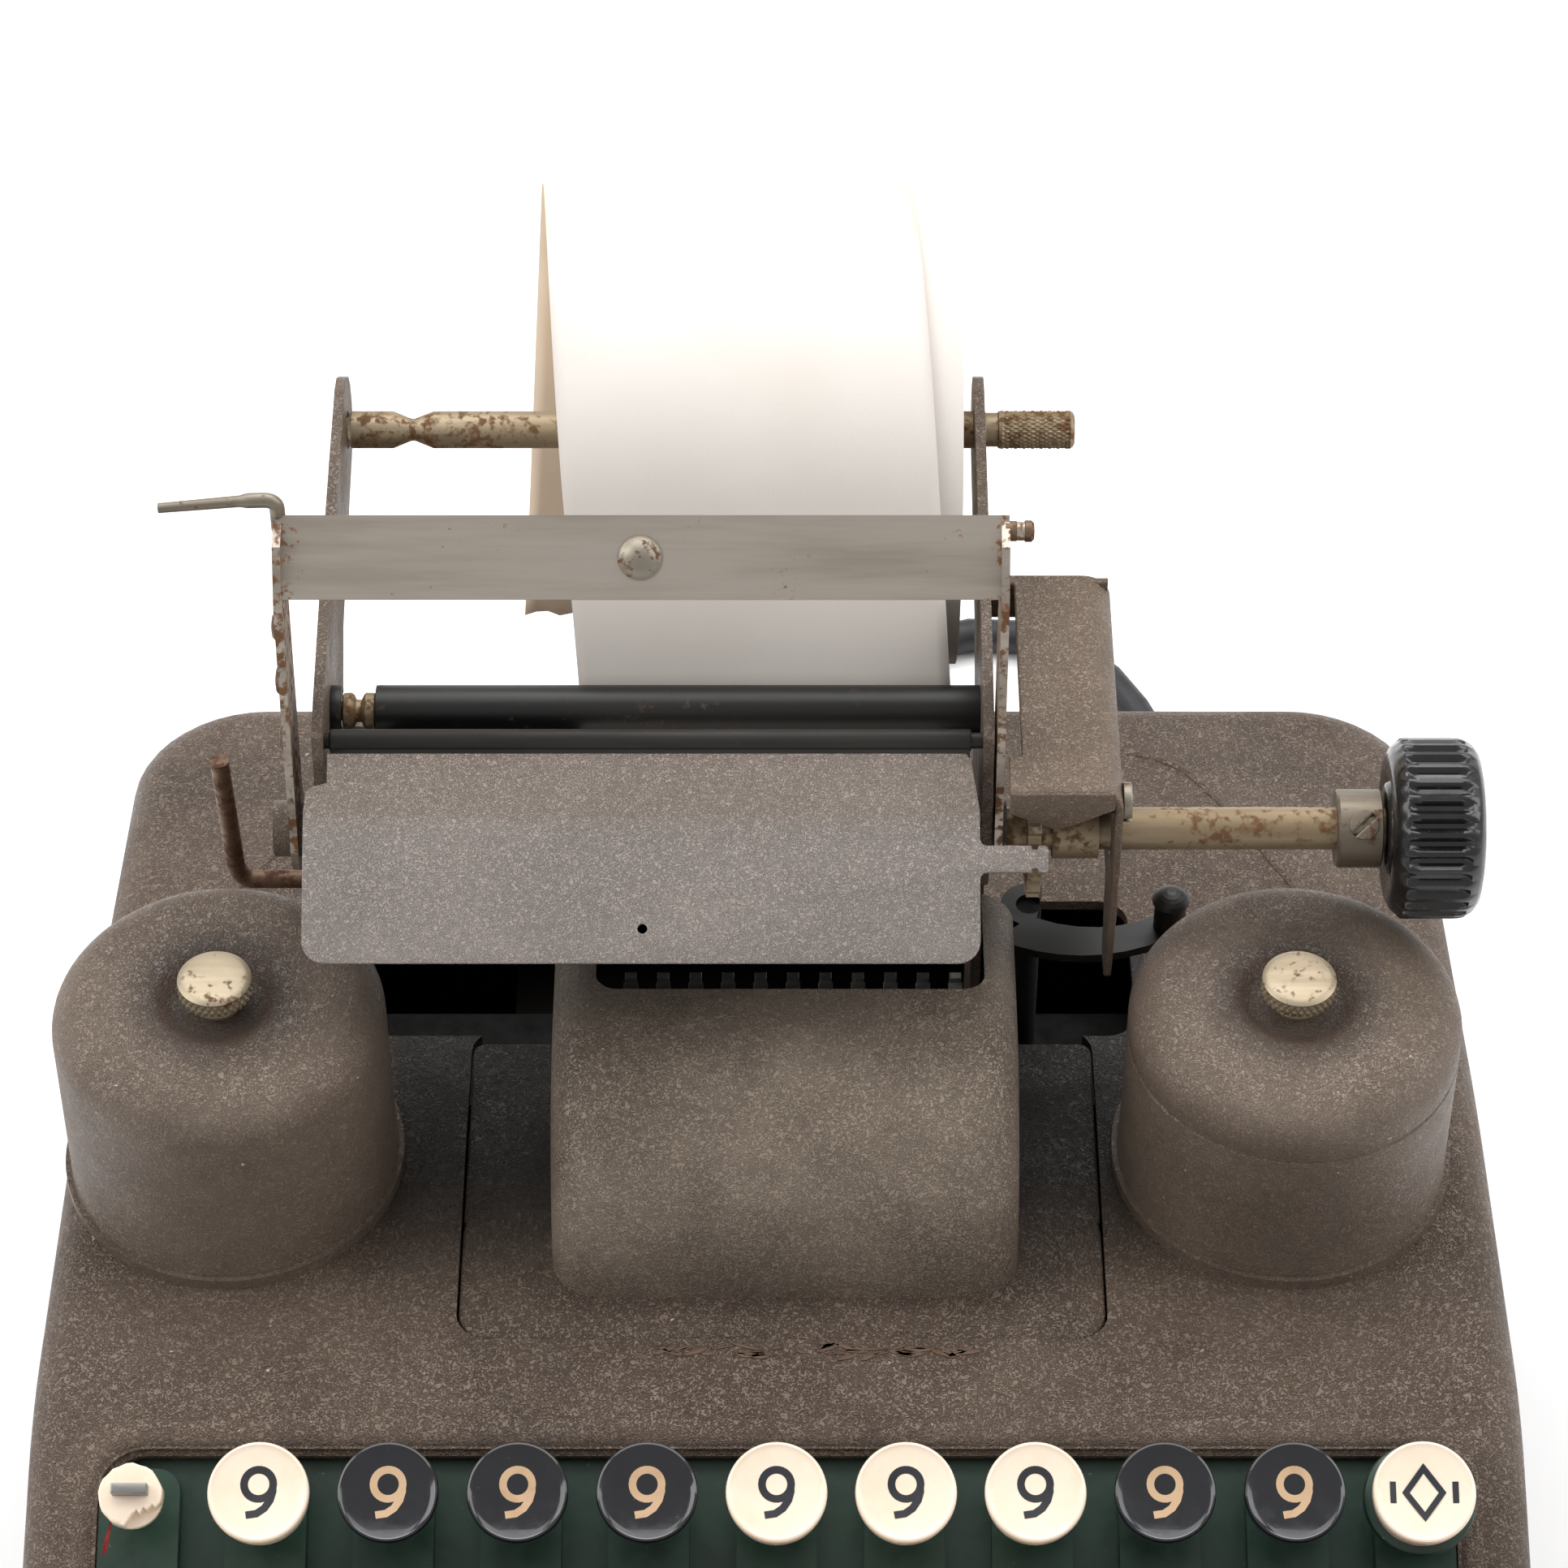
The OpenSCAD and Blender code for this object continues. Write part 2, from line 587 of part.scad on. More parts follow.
// The printed strip: over the platen, under and behind the guide bar, and over the roll
strip_r1 = platen_d / 2 + gap;
strip_r2 = guide_r + gap;
strip_r3 = roll_d / 2 + 0.6;
function heading(a, b) = atan2(b[1] - a[1], b[0] - a[0]);
c1 = [axis_y, axis_z];
c2 = [guide_y, guide_z];
c3 = [rod_y, rod_z];
turn1 = heading(c1, c2) + acos((strip_r1 + strip_r2 + strip_t) / norm(c2 - c1));
turn2 = heading(c2, c3) - acos((strip_r2 + strip_r3 + strip_t) / norm(c3 - c2));
function strip_side(t) = concat(
    arc(c1, strip_r1 + t, 178, turn1, 12),
    arc(c2, strip_r2 + strip_t - t, turn1 + 180, turn2 + 360, 10),
    arc(c3, strip_r3 + t, turn2 + 180, 0, 20),
    [[rod_y + strip_r3 + t, key_z - 8.5]]);
function backwards(p) = [for (i = [len(p) - 1:-1:0]) p[i]];
module paper_strip() {
    color("#f8f5ef") along_x(-paper_w / 2 - 1, paper_w / 2 - 1)
        polygon(concat(strip_side(0), backwards(strip_side(strip_t))));
}

// ---- side levers ----
module release_lever() {
    color("#8a6f52") {
        rod_x(release_x, plate_x[0] + side_t + 2, at(108), up(16), 1.5);
        translate([release_x, at(108), up(16)]) sphere(r = 1.85);
        translate([release_x, at(108), up(16)]) rotate([0, -1.5, 0]) cylinder(h = 27, r = 1.5);
    }
}
module ribbon_lever() {
    color("#1c1d1e") difference() {
        union() {
            translate([0, 0, up(15)]) linear_extrude(1.6) polygon(concat(
                arc([40, at(102)], 4.5, 60, 250, 8), arc([48, at(118)], 27, 240, 300, 8),
                arc([62, at(97.5)], 3.2, -60, 100, 6), arc([50, at(118)], 21, 300, 245, 6)));
            post(62, at(97.5), up(15), up(22.5), 2.5);
        }
        post(40, at(102), up(14), up(18), 2 + fit);
    }
    color("#7d7264") translate([62, at(97.5), up(22.5)]) rotate_extrude()
        polygon(concat([[0, 0], [3, 0]], arc([0, -1.5], 3.35, 27, 90, 5)));
}

// ---- mains cord ----
module strain_relief() {
    color("#1b1b1c") translate([exit_x, back_y, exit_z]) rotate([-90, 0, 0]) difference() {
        union() {
            translate([0, 0, -5]) cylinder(h = 6, r = 5);
            cylinder(h = 3, r = 7.5);
            translate([0, 0, 3]) cylinder(h = relief_l - 3, r1 = 6, r2 = cord_d / 2 + 0.8);
        }
        translate([0, 0, relief_l - 4]) cylinder(h = 5, r = cord_d / 2);
    }
}
// Route of the free lead: out of the relief, down to the table, and round to the coil
cord_route = [
    [82, 196, 30], [82, 204, 29.6], [82, 213, 27.5], [82, 222, 23], [81.8, 231, 16.5],
    [81.5, 240, 10], [81, 249, 5.5], [79.6, 258, 3.7], [77, 267, 3.5], [73.5, 276, 3.5],
    [68.5, 285, 3.5], [61, 293, 3.5], [51, 298, 3.5], [40, 298.5, 3.5], [29.5, 295, 3.5],
    [21, 287.5, 3.5], [16, 277, 3.5], [14.6, 265, 3.5], [14.6, 252, 3.5], [14.6, 240, 3.5],
    [14.6, 230, 3.5], [14.6, 222, 3.5]
];
function unit(v) = v / norm(v);
module tube(path, r, sides) {
    n = len(path);
    dirs = [for (i = [0:n - 1]) unit(path[min(i + 1, n - 1)] - path[max(i - 1, 0)])];
    rings = [for (i = [0:n - 1]) let (s = unit(cross(dirs[i], [0, 0, 1])), u = cross(s, dirs[i]))
        for (k = [0:sides - 1]) path[i] + r * (cos(360 * k / sides) * s + sin(360 * k / sides) * u)];
    walls = [for (i = [0:n - 2], k = [0:sides - 1]) let (j = (k + 1) % sides)
        [i * sides + k, i * sides + j, (i + 1) * sides + j, (i + 1) * sides + k]];
    ends = [[for (k = [sides - 1:-1:0]) k], [for (k = [0:sides - 1]) (n - 1) * sides + k]];
    polyhedron(rings, concat(walls, ends));
}
module cord_lead() { color("#2a2a2c") tube(cord_route, cord_d / 2, 10); }
module cord_coil() {
    color("#2a2a2c") translate([coil_x, coil_y, 0]) rotate_extrude()
        polygon([[coil_in, 0], [coil_out, 0], [coil_out, coil_h], [coil_in, coil_h]]);
}
module plug() {
    color("#202022") translate([plug_x, plug_y, coil_h]) {
        translate([-36, -11, 0]) cube([26, 22, 15]);
        translate([-10.5, -4.5, 3]) cube([10.5, 9, 9]);
    }
    color("#b8a878") for (y = [-prong_gap, prong_gap])
        translate([plug_x - 52, plug_y + y - 0.75, coil_h + 4.3]) cube([16.5, 1.5, 6.4]);
}

base_pan();
rubber_feet();
case_shell();
case_screws();
keyboard_plate();
side_frames();
tie_rods();
printing_hood();
spool_cover_left();
spool_cover_right();
cover_nut_left();
cover_nut_right();
spool_posts();
ribbon_spool_left();
ribbon_spool_right();
motor();
motor_pinion();
drive_shaft();
register_shaft();
register_wheels();
type_bars();
carriage_bed();
carriage_plate_left();
carriage_plate_right();
platen();
platen_shaft();
platen_knob();
knob_collar();
ratchet_cover();
front_flap();
guide_bar();
feed_rod();
hinge_rod();
paper_bail();
bail_rivet();
bail_lever();
roll_rod();
paper_roll();
paper_strip();
release_lever();
ribbon_lever();
keys_row(1);  // keys_row_1
keys_row(2);  // keys_row_2
keys_row(3);  // keys_row_3
keys_row(4);  // keys_row_4
keys_row(5);  // keys_row_5
keys_row(6);  // keys_row_6
keys_row(7);  // keys_row_7
keys_row(8);  // keys_row_8
keys_row(9);  // keys_row_9
subtotal_key();
total_key();
motor_bar();
broken_key();
error_key();
repeat_key();
strain_relief();
cord_lead();
cord_coil();
plug();
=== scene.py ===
"""Looks of the mechanical adding machine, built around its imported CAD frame."""

import math
import random

import bmesh
import bpy
from mathutils import Matrix, Vector


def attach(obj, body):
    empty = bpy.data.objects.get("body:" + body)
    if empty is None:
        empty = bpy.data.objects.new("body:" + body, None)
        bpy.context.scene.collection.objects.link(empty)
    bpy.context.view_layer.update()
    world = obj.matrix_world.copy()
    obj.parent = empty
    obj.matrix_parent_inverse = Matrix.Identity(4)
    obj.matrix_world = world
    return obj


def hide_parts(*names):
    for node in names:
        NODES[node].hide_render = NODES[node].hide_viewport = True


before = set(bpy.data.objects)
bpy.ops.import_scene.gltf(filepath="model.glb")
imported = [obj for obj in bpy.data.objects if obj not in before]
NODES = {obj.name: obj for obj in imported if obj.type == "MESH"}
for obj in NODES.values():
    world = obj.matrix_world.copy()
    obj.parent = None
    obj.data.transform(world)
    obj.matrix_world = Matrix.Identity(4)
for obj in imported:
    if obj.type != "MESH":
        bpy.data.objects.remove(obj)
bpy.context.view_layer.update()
MM = 0.001

# ---- the places used by the CAD, in millimetres ----
ROW9_Y, KEY_Z, TILT = -13.5, 132.0, math.radians(25)
PITCH = 19.05
SLOPE = Matrix.Translation((0, ROW9_Y, KEY_Z)) @ Matrix.Rotation(TILT, 4, "X")
SHELF_Z = KEY_Z - 5
SPOOL_X, SPOOL_Y, COVER_Z = (-85, 79), ROW9_Y + 68, 129
AXIS = Vector((0, ROW9_Y + 90.1, KEY_Z + 46.6))         # platen
ROD = Vector((0, ROW9_Y + 155, KEY_Z + 70))             # paper roll
GUIDE = Vector((0, ROW9_Y + 103, KEY_Z + 59.1))         # feed rod, inside the guide bar
HINGE = Vector((0, ROW9_Y + 91, KEY_Z + 64.8))          # front flap
BAIL_R, BAIL_TILT, BAIL_X = 49.4, math.radians(44), (-73.8, 34.2)
BAIL_BACK = 7.9             # bail strip behind the platen axis
KNOB_X = 92.5               # inner face of the platen knob
CASE_BACK, CASE_FRONT, CASE_LOW = ROW9_Y + 183, ROW9_Y - 165, 8
BORDER = 13                 # keyboard border above the key plane
ALONG_X = Matrix.Rotation(math.radians(90), 4, "Y")
UPRIGHT = Matrix.Identity(4)
YZ = Matrix(((0, 0, 1, 0), (1, 0, 0, 0), (0, 1, 0, 0), (0, 0, 0, 1)))   # (y, z, x) to (x, y, z)


def at(d):
    return ROW9_Y + d


def up(h):
    return KEY_Z + h


def rad(degrees):
    return math.radians(degrees)


def new_object(name, data):
    made = bpy.data.objects.new(name, data)
    bpy.context.scene.collection.objects.link(made)
    return made


# ---- camera ----
camera_data = bpy.data.cameras.new("camera")
camera_data.sensor_width = 36
camera_data.lens = 113.3
camera_data.clip_start, camera_data.clip_end = 0.05, 20
camera = new_object("camera", camera_data)
camera.location = (0.0011, -0.4423, 0.7257)
camera.rotation_euler = (rad(44), 0, 0)
bpy.context.scene.camera = camera


# ---- node graphs ----
class Graph:
    """A principled material whose colour, roughness and bump come from object coordinates."""

    def __init__(self, name, rough=0.5, metal=0.0, **fixed):
        self.mat = bpy.data.materials.new(name)
        self.mat.use_nodes = True
        self.tree = self.mat.node_tree
        self.bsdf = self.tree.nodes["Principled BSDF"]
        for key, value in {"Roughness": rough, "Metallic": metal, **fixed}.items():
            self.bsdf.inputs[key.replace("_", " ")].default_value = value
        self.coords = self.node("TexCoord", "Object")

    def link(self, value, socket):
        if isinstance(value, bpy.types.NodeSocket):
            self.tree.links.new(value, socket)
        else:
            socket.default_value = (*value, 1) if socket.type == "RGBA" else value

    def node(self, kind, result, inputs=None, **props):
        """Makes a shader node, fills in its inputs and returns one of its outputs."""
        made = self.tree.nodes.new("ShaderNode" + kind)
        for key, value in props.items():
            setattr(made, key, value)
        for key, value in (inputs or {}).items():
            self.link(value, made.inputs[key])
        return made.outputs[result]

    def stretch(self, x, y, z):
        return self.node("Mapping", "Vector", {"Vector": self.coords, "Scale": (x, y, z)})

    def noise(self, scale, detail=2.0, rough=0.5, distort=0.0, where=None):
        return self.node("TexNoise", "Fac", {
            "Vector": where or self.coords, "Scale": scale, "Detail": detail, "Roughness": rough,
            "Distortion": distort})

    def calc(self, operation, a, b=0.0, clamp=False):
        return self.node("Math", 0, {0: a, 1: b}, operation=operation, use_clamp=clamp)

    def plus(self, a, b, clamp=False):
        return self.calc("ADD", a, b, clamp)

    def times(self, a, b):
        return self.calc("MULTIPLY", a, b)

    def apart(self, a, b):
        return self.calc("ABSOLUTE", self.calc("SUBTRACT", a, b))

    def ramp(self, value, low, high, out_low=0.0, out_high=1.0):
        return self.node("MapRange", "Result", {
            "Value": value, "From Min": low, "From Max": high, "To Min": out_low,
            "To Max": out_high}, interpolation_type="SMOOTHSTEP")

    def mix(self, share, a, b):
        return self.node("Mix", 2, {0: share, 6: a, 7: b}, data_type="RGBA")

    def place(self, axis):
        return self.node("SeparateXYZ", axis, {0: self.coords})

    def ring(self, x, y, radius, width):
        """1 on an upright cylinder wall of this radius round (x, y), fading over width; metres."""
        dx = self.calc("SUBTRACT", self.place("X"), x)
        dy = self.calc("SUBTRACT", self.place("Y"), y)
        square = self.plus(self.times(dx, dx), self.times(dy, dy))
        return self.ramp(self.apart(self.calc("SQRT", square), radius), 0.0, width, 1.0, 0.0)

    def bump(self, height, distance, strength=1.0, under=None):
        inputs = {"Strength": strength, "Distance": distance, "Height": height}
        if under:
            inputs["Normal"] = under
        return self.node("Bump", "Normal", inputs)

    def done(self, colour, rough=None, normal=None, metal=None):
        for key, value in {"Base Color": colour, "Roughness": rough, "Normal": normal,
                           "Metallic": metal}.items():
            if value is not None:
                self.link(value, self.bsdf.inputs[key])
        return self.mat


def srgb(*channels):
    return tuple((c / 255 / 12.92) if c < 11 else ((c / 255 + 0.055) / 1.055) ** 2.4
                 for c in channels)


# ---- materials ----
def wrinkle_paint(name, base, dirt, grain, depth, rough, warm=None, worn=(), dusty=None,
                 grime_and_shade=None):
    """Baked crinkle enamel: fine worm-like ridges, dirt in the low places and pale specks of dust."""
    g = Graph(name, rough)
    soft = g.noise(26, 4, 0.6)
    mottle = g.noise(140, 3, 0.6)
    worms = g.apart(g.noise(grain, 2.0, 0.45, 1.6), 0.5)
    ridges = g.ramp(worms, 0.0, 0.11)
    colour = g.mix(g.ramp(soft, 0.35, 0.68), srgb(*base), srgb(*dirt))
    colour = g.mix(g.ramp(mottle, 0.3, 0.75, 0.0, 0.35), colour, srgb(*dirt))
    if warm:
        colour = g.mix(g.ramp(g.noise(11, 3, 0.5), 0.5, 0.72, 0.0, 0.5), colour, srgb(*warm))
    light = tuple(min(255, c + 26) for c in base)
    colour = g.mix(g.times(ridges, 0.35), colour, srgb(*light))
    dust = g.ramp(g.noise(720, 1.0), 0.79, 0.82, 0.0, 0.75)
    colour = g.mix(dust, colour, srgb(206, 198, 186))
    # painted shade from the carriage and flap, over some grime, darkening the paint near the carriage
    # opening
    if grime_and_shade:
        half, near, far, end, tone, share = grime_and_shade
        side = g.ramp(g.calc("ABSOLUTE", g.place("X")), half, half + 0.016, 1.0, 0.0)
        grime_shade = g.times(side, g.ramp(g.place("Y"), near, far, 0.0, share))
        grime_shade = g.times(grime_shade, g.ramp(g.place("Y"), end, end + 0.012, 1.0, 0.0))
        colour = g.mix(grime_shade, colour, srgb(*tone))
    if dusty:
        above, tone, share = dusty
        band = g.ramp(g.place("Z"), above, above + 0.0012, 0.0, share)
        colour = g.mix(band, colour, srgb(*tone))
    for radius, width, tone, share in worn:
        for x in SPOOL_X:
            ring = g.ring(x * MM, SPOOL_Y * MM, radius, width)
            colour = g.mix(g.times(ring, share), colour, srgb(*tone))
    normal = g.bump(g.noise(grain * 0.42, 3, 0.6), depth * 1.6, 0.35)
    normal = g.bump(ridges, depth, 0.75, normal)
    shine = g.ramp(g.noise(70, 3, 0.6), 0.3, 0.75, rough - 0.08, rough + 0.12)
    return g.done(colour, shine, normal)


def bare_metal(name, base, stain, rust, metal=0.9, rough=0.38, amount=0.5, rusty_ends=None):
    """Plated or rolled metal with grey staining and pitted rust, more of it at any rusty_ends."""
    g = Graph(name, rough, metal)
    streaks = g.noise(60, 4, 0.6, where=g.stretch(0.25, 3.0, 3.0))
    pits = g.noise(650, 3, 0.62)
    patches = g.noise(95, 4, 0.65)
    level = g.plus(g.times(pits, 0.55), g.times(patches, 0.45))
    if rusty_ends:
        left, right, reach = (v * MM for v in rusty_ends)
        for edge in (left, right):
            level = g.plus(level, g.ramp(g.apart(g.place("X"), edge), 0.0, reach, 0.13, 0.0))
    spots = g.ramp(level, 0.66 - 0.22 * amount, 0.72 - 0.16 * amount)
    colour = g.mix(g.ramp(streaks, 0.35, 0.7), srgb(*base), srgb(*stain))
    brown = g.mix(g.noise(900, 2), srgb(*rust), tuple(0.45 * v for v in srgb(*rust)))
    colour = g.mix(spots, colour, brown)
    shine = g.plus(g.ramp(streaks, 0.2, 0.8, rough - 0.07, rough + 0.1), g.times(spots, 0.35), True)
    normal = g.bump(g.plus(g.times(pits, 0.5), g.times(spots, 0.5)), 0.00008, 0.5)
    return g.done(colour, shine, normal, g.ramp(spots, 0.0, 1.0, metal, 0.1))


def moulded(name, base, dark, rough=0.22, dust=0.3, crazed=0.0, **fixed):
    """Old moulded plastic or rubber: faint clouding, fine scratches and settled dust."""
    g = Graph(name, rough, **fixed)
    colour = g.mix(g.ramp(g.noise(120, 4, 0.65), 0.4, 0.8), srgb(*base), srgb(*dark))
    stain = g.ramp(g.noise(210, 4, 0.7), 0.66, 0.78, 0.0, crazed)
    colour = g.mix(stain, colour, srgb(150, 116, 78))
    speck = g.ramp(g.noise(640, 2, 0.7), 0.70, 0.80, 0.0, dust)
    colour = g.mix(speck, colour, srgb(150, 142, 132))
    shine = g.ramp(g.noise(300, 4, 0.6), 0.3, 0.8, rough - 0.05, rough + 0.15)
    shine = g.plus(shine, g.times(speck, 0.4), True)
    return g.done(colour, shine, g.bump(g.noise(520, 3, 0.6), 0.00004, 0.3))


# rings round the nuts, rusty and then dark: radius, width, tone, share
COVER_WORN = [(0.0085, 0.0022, (112, 68, 40), 0.6), (0.0085, 0.0085, (52, 43, 37), 0.75)]
# painted shade from the carriage and flap, over some grime: dark beyond this half width, growing and
# ending along Y; then its tone and share
GRIME_AND_SHADE = (0.058, at(38) * MM, at(70) * MM, at(112) * MM, (20, 16, 12), 0.93)
case_paint = wrinkle_paint("case_paint", (109, 92, 78), (79, 64, 52), 1150, 0.0008, 0.5,
                           warm=(104, 82, 66), grime_and_shade=GRIME_AND_SHADE)
cover_paint = wrinkle_paint("cover_paint", (115, 99, 85), (87, 72, 59), 1400, 0.0003, 0.44,
                            warm=(112, 92, 74), worn=COVER_WORN)
hood_paint = wrinkle_paint("hood_paint", (148, 132, 116), (98, 84, 70), 1400, 0.00045, 0.45,
                           warm=(108, 96, 84))
flap_paint = wrinkle_paint("flap_paint", (162, 151, 144), (138, 128, 121), 1900, 0.00045, 0.4,
                           dusty=((KEY_Z + 59.2) * MM, (142, 126, 112), 0.5))
housing_paint = wrinkle_paint("housing_paint", (120, 103, 87), (96, 79, 64), 1400, 0.0003,
                              0.5, warm=(122, 84, 58))
plate_paint = wrinkle_paint("plate_paint", (112, 97, 84), (86, 72, 60), 1400, 0.0003, 0.45,
                            warm=(112, 88, 66))
bail_steel = bare_metal("bail_steel", (180, 170, 159), (150, 140, 129), (136, 96, 62), 0.8, 0.42,
                        0.18, rusty_ends=(*BAIL_X, 8))
rusty_steel = bare_metal("rusty_steel", (172, 156, 130), (140, 122, 96), (128, 92, 60), 0.6, 0.5,
                         0.72)
dull_steel = bare_metal("dull_steel", (146, 138, 124), (112, 102, 88), (112, 78, 52), 0.75, 0.45,
                        0.45)
brown_steel = bare_metal("brown_steel", (120, 96, 76), (92, 70, 54), (92, 56, 36), 0.55, 0.5, 0.8)
nickel = bare_metal("nickel", (172, 158, 134), (150, 134, 110), (116, 84, 54), 0.55, 0.42,
                    0.6)
dark_steel = bare_metal("dark_steel", (58, 55, 52), (40, 37, 34), (74, 54, 40), 0.6, 0.5, 0.3)
plain_steel = bare_metal("plain_steel", (150, 150, 148), (122, 120, 116), (110, 84, 62), 0.9,
                         0.35, 0.15)
brass = bare_metal("brass", (176, 148, 96), (140, 116, 74), (96, 78, 48), 0.9, 0.35, 0.2)
black_lacquer = bare_metal("black_lacquer", (19, 19, 19), (30, 27, 24), (84, 64, 46), 0.1, 0.42,
                           0.35)
rubber = moulded("rubber", (30, 30, 31), (20, 20, 20), 0.6, 0.25)
cord_rubber = moulded("cord_rubber", (34, 35, 38), (26, 26, 28), 0.5, 0.2)
bakelite = moulded("bakelite", (20, 20, 21), (13, 13, 14), 0.24, 0.25, Coat_Weight=0.3)
cream = moulded("cream", (248, 228, 206), (238, 216, 190), 0.24, 0.06, 0.35, Coat_Weight=0.25)
black_key = moulded("black_key", (20, 21, 26), (12, 12, 15), 0.13, 0.3, Coat_Weight=0.5)
red_key = moulded("red_key", (150, 34, 28), (120, 24, 20), 0.22, 0.1, Coat_Weight=0.3)
tan_ink = moulded("tan_ink", (196, 164, 130), (170, 134, 98), 0.55, 0.2)
dark_ink = moulded("dark_ink", (38, 40, 46), (28, 29, 33), 0.4, 0.1)
# near-black matte for the carriage bed: painted shade standing in for the dark recess under the
# carriage
shade_black = moulded("shade_black", (9, 8, 7), (6, 6, 5), 0.85, 0.05)
green_paint = moulded("green_paint", (36, 60, 48), (28, 46, 38), 0.36, 0.45)
ribbon_ink = moulded("ribbon_ink", (36, 34, 44), (24, 22, 30), 0.7, 0.1)


def paper_material(name, face, shade, warm):
    g = Graph(name, 0.75)
    fibres = g.noise(1500, 4, 0.7)
    crease = g.noise(38, 5, 0.65)
    colour = g.mix(g.ramp(g.noise(30, 3), 0.3, 0.8), srgb(*face), srgb(*shade))
    colour = g.mix(g.ramp(fibres, 0.5, 0.9, 0.0, 0.2), colour, srgb(*warm))
    smudge = g.ramp(g.noise(60, 6, 0.75, 1.0, g.stretch(1.0, 1.6, 0.7)), 0.71, 0.76, 0.0, 0.35)
    colour = g.mix(smudge, colour, srgb(150, 148, 146))
    height = g.plus(g.times(fibres, 0.2), crease)
    return g.done(colour, 0.78, g.bump(height, 0.0004, 0.3))


paper = paper_material("paper", (233, 226, 219), (226, 219, 211), (230, 218, 203))
# a warmer, brighter copy of the same paper for the ply hanging past the crest: painted backlit glow
# and shade
paper_back_glow = paper_material("paper_back_glow", (252, 232, 208), (250, 226, 200), (248, 224, 196))
paper_edge = paper_material("paper_edge", (240, 226, 204), (228, 212, 190), (222, 204, 180))


# ---- mesh helpers, all in millimetres ----
def solid_mesh(name, verts, faces):
    """A mesh in metres from vertices in mm, its faces turned outwards."""
    data = bpy.data.meshes.new(name)
    data.from_pydata([tuple(Vector(v) * MM) for v in verts], [], faces)
    bm = bmesh.new()
    bm.from_mesh(data)
    bmesh.ops.recalc_face_normals(bm, faces=bm.faces)
    bm.to_mesh(data)
    bm.free()
    return data


def smooth(piece, angle):
    piece.data.shade_smooth()
    piece.data.set_sharp_from_angle(angle=rad(angle))


def thicken(piece, thickness, offset=-1):
    skin = piece.modifiers.new("skin", "SOLIDIFY")
    skin.thickness, skin.offset = thickness * MM, offset


def add(name, verts, faces, material, body, slot, hides=(), flat=35, picks=None):
    """Makes one piece from vertices in mm; picks gives a material number for each face."""
    piece = new_object(name, solid_mesh(name, verts, faces))
    for each in material if isinstance(material, list) else [material]:
        piece.data.materials.append(each)
    if picks:
        piece.data.polygons.foreach_set("material_index", picks)
    smooth(piece, flat)
    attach(piece, body)
    if hides:
        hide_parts(*hides)
    return piece


def placed(x, y, z, angle=0, axis="X"):
    return Matrix.Translation((x, y, z)) @ Matrix.Rotation(rad(angle), 4, axis)


def moved(shape, where):
    verts, faces = shape
    return [tuple(where @ Vector(v)) for v in verts], faces


class Parts:
    """Vertices and faces gathered from several shapes, with a material number for each face."""

    def __init__(self):
        self.verts, self.faces, self.picks = [], [], []

    def join(self, shape, where=None, pick=0):
        verts, faces = moved(shape, where) if where else shape
        start = len(self.verts)
        self.verts += [tuple(v) for v in verts]
        self.faces += [tuple(start + i for i in f) for f in faces]
        self.picks += [pick] * len(faces)
        return self

    def add(self, name, material, body, slot, hides=(), flat=35):
        return add(name, self.verts, self.faces, material, body, slot, hides, flat=flat,
                   picks=self.picks)


def grid_faces(rings, sides, closed=True):
    last = sides if closed else sides - 1
    return [(i * sides + k, i * sides + (k + 1) % sides, (i + 1) * sides + (k + 1) % sides,
             (i + 1) * sides + k) for i in range(rings - 1) for k in range(last)]


def lathe(profile, steps=48, wobble=None):
    """Turns (radius, height) points about Z. Points on the axis become one vertex each."""
    verts, faces, rows = [], [], []
    for r, h in profile:
        if r < 1e-6:
            rows.append([len(verts)])
            verts.append((0, 0, h))
            continue
        rows.append(list(range(len(verts), len(verts) + steps)))
        for k in range(steps):
            a = 2 * math.pi * k / steps
            q = r + (wobble(a, h, r) if wobble else 0)
            verts.append((q * math.cos(a), q * math.sin(a), h))
    for low, high in zip(rows, rows[1:]):
        for k in range(steps):
            n = (k + 1) % steps
            ring = (low[k % len(low)], low[n % len(low)], high[n % len(high)], high[k % len(high)])
            face = tuple(dict.fromkeys(ring))
            if len(face) > 2:
                faces.append(face)
    return verts, faces


def arc(cx, cy, r, start, end, count=8):
    return [(cx + r * math.cos(rad(start + (end - start) * i / count)),
             cy + r * math.sin(rad(start + (end - start) * i / count)))
            for i in range(count + 1)]


def round_rect(x0, y0, x1, y1, r, count=6):
    return (arc(x1 - r, y1 - r, r, 0, 90, count) + arc(x0 + r, y1 - r, r, 90, 180, count)
            + arc(x0 + r, y0 + r, r, 180, 270, count) + arc(x1 - r, y0 + r, r, 270, 360, count))


def inset_rings(outline, section):
    """Copies of an outline, one for each (inset, height) of the section."""
    n = len(outline)
    ways = []
    for i in range(n):
        d = (Vector(outline[(i + 1) % n]) - Vector(outline[i - 1])).normalized()
        ways.append(Vector((-d.y, d.x)))
    return [(*(Vector(p) + w * inset), z) for inset, z in section for p, w in zip(outline, ways)]


def ends(rings, sides):
    return [tuple(range(sides)), tuple((rings - 1) * sides + k for k in range(sides))]


def soft_prism(outline, z0, z1, edge=0.3, steps=3):
    """A closed prism over a convex-cornered outline, with rounded top and bottom edges."""
    upper = arc(edge, z1 - edge, edge, 180, 90, steps)
    section = [(inset, z0 + (z1 - z)) for inset, z in reversed(upper)] + upper
    n = len(outline)
    return inset_rings(outline, section), grid_faces(len(section), n) + ends(len(section), n)


def ring_sweep(outline, section):
    """A closed bead along an outline; section points are (inset, height)."""
    n = len(outline)
    verts = inset_rings(outline, section)
    faces = [tuple(v % len(verts) for v in f) for f in grid_faces(len(section) + 1, n)]
    return verts, faces


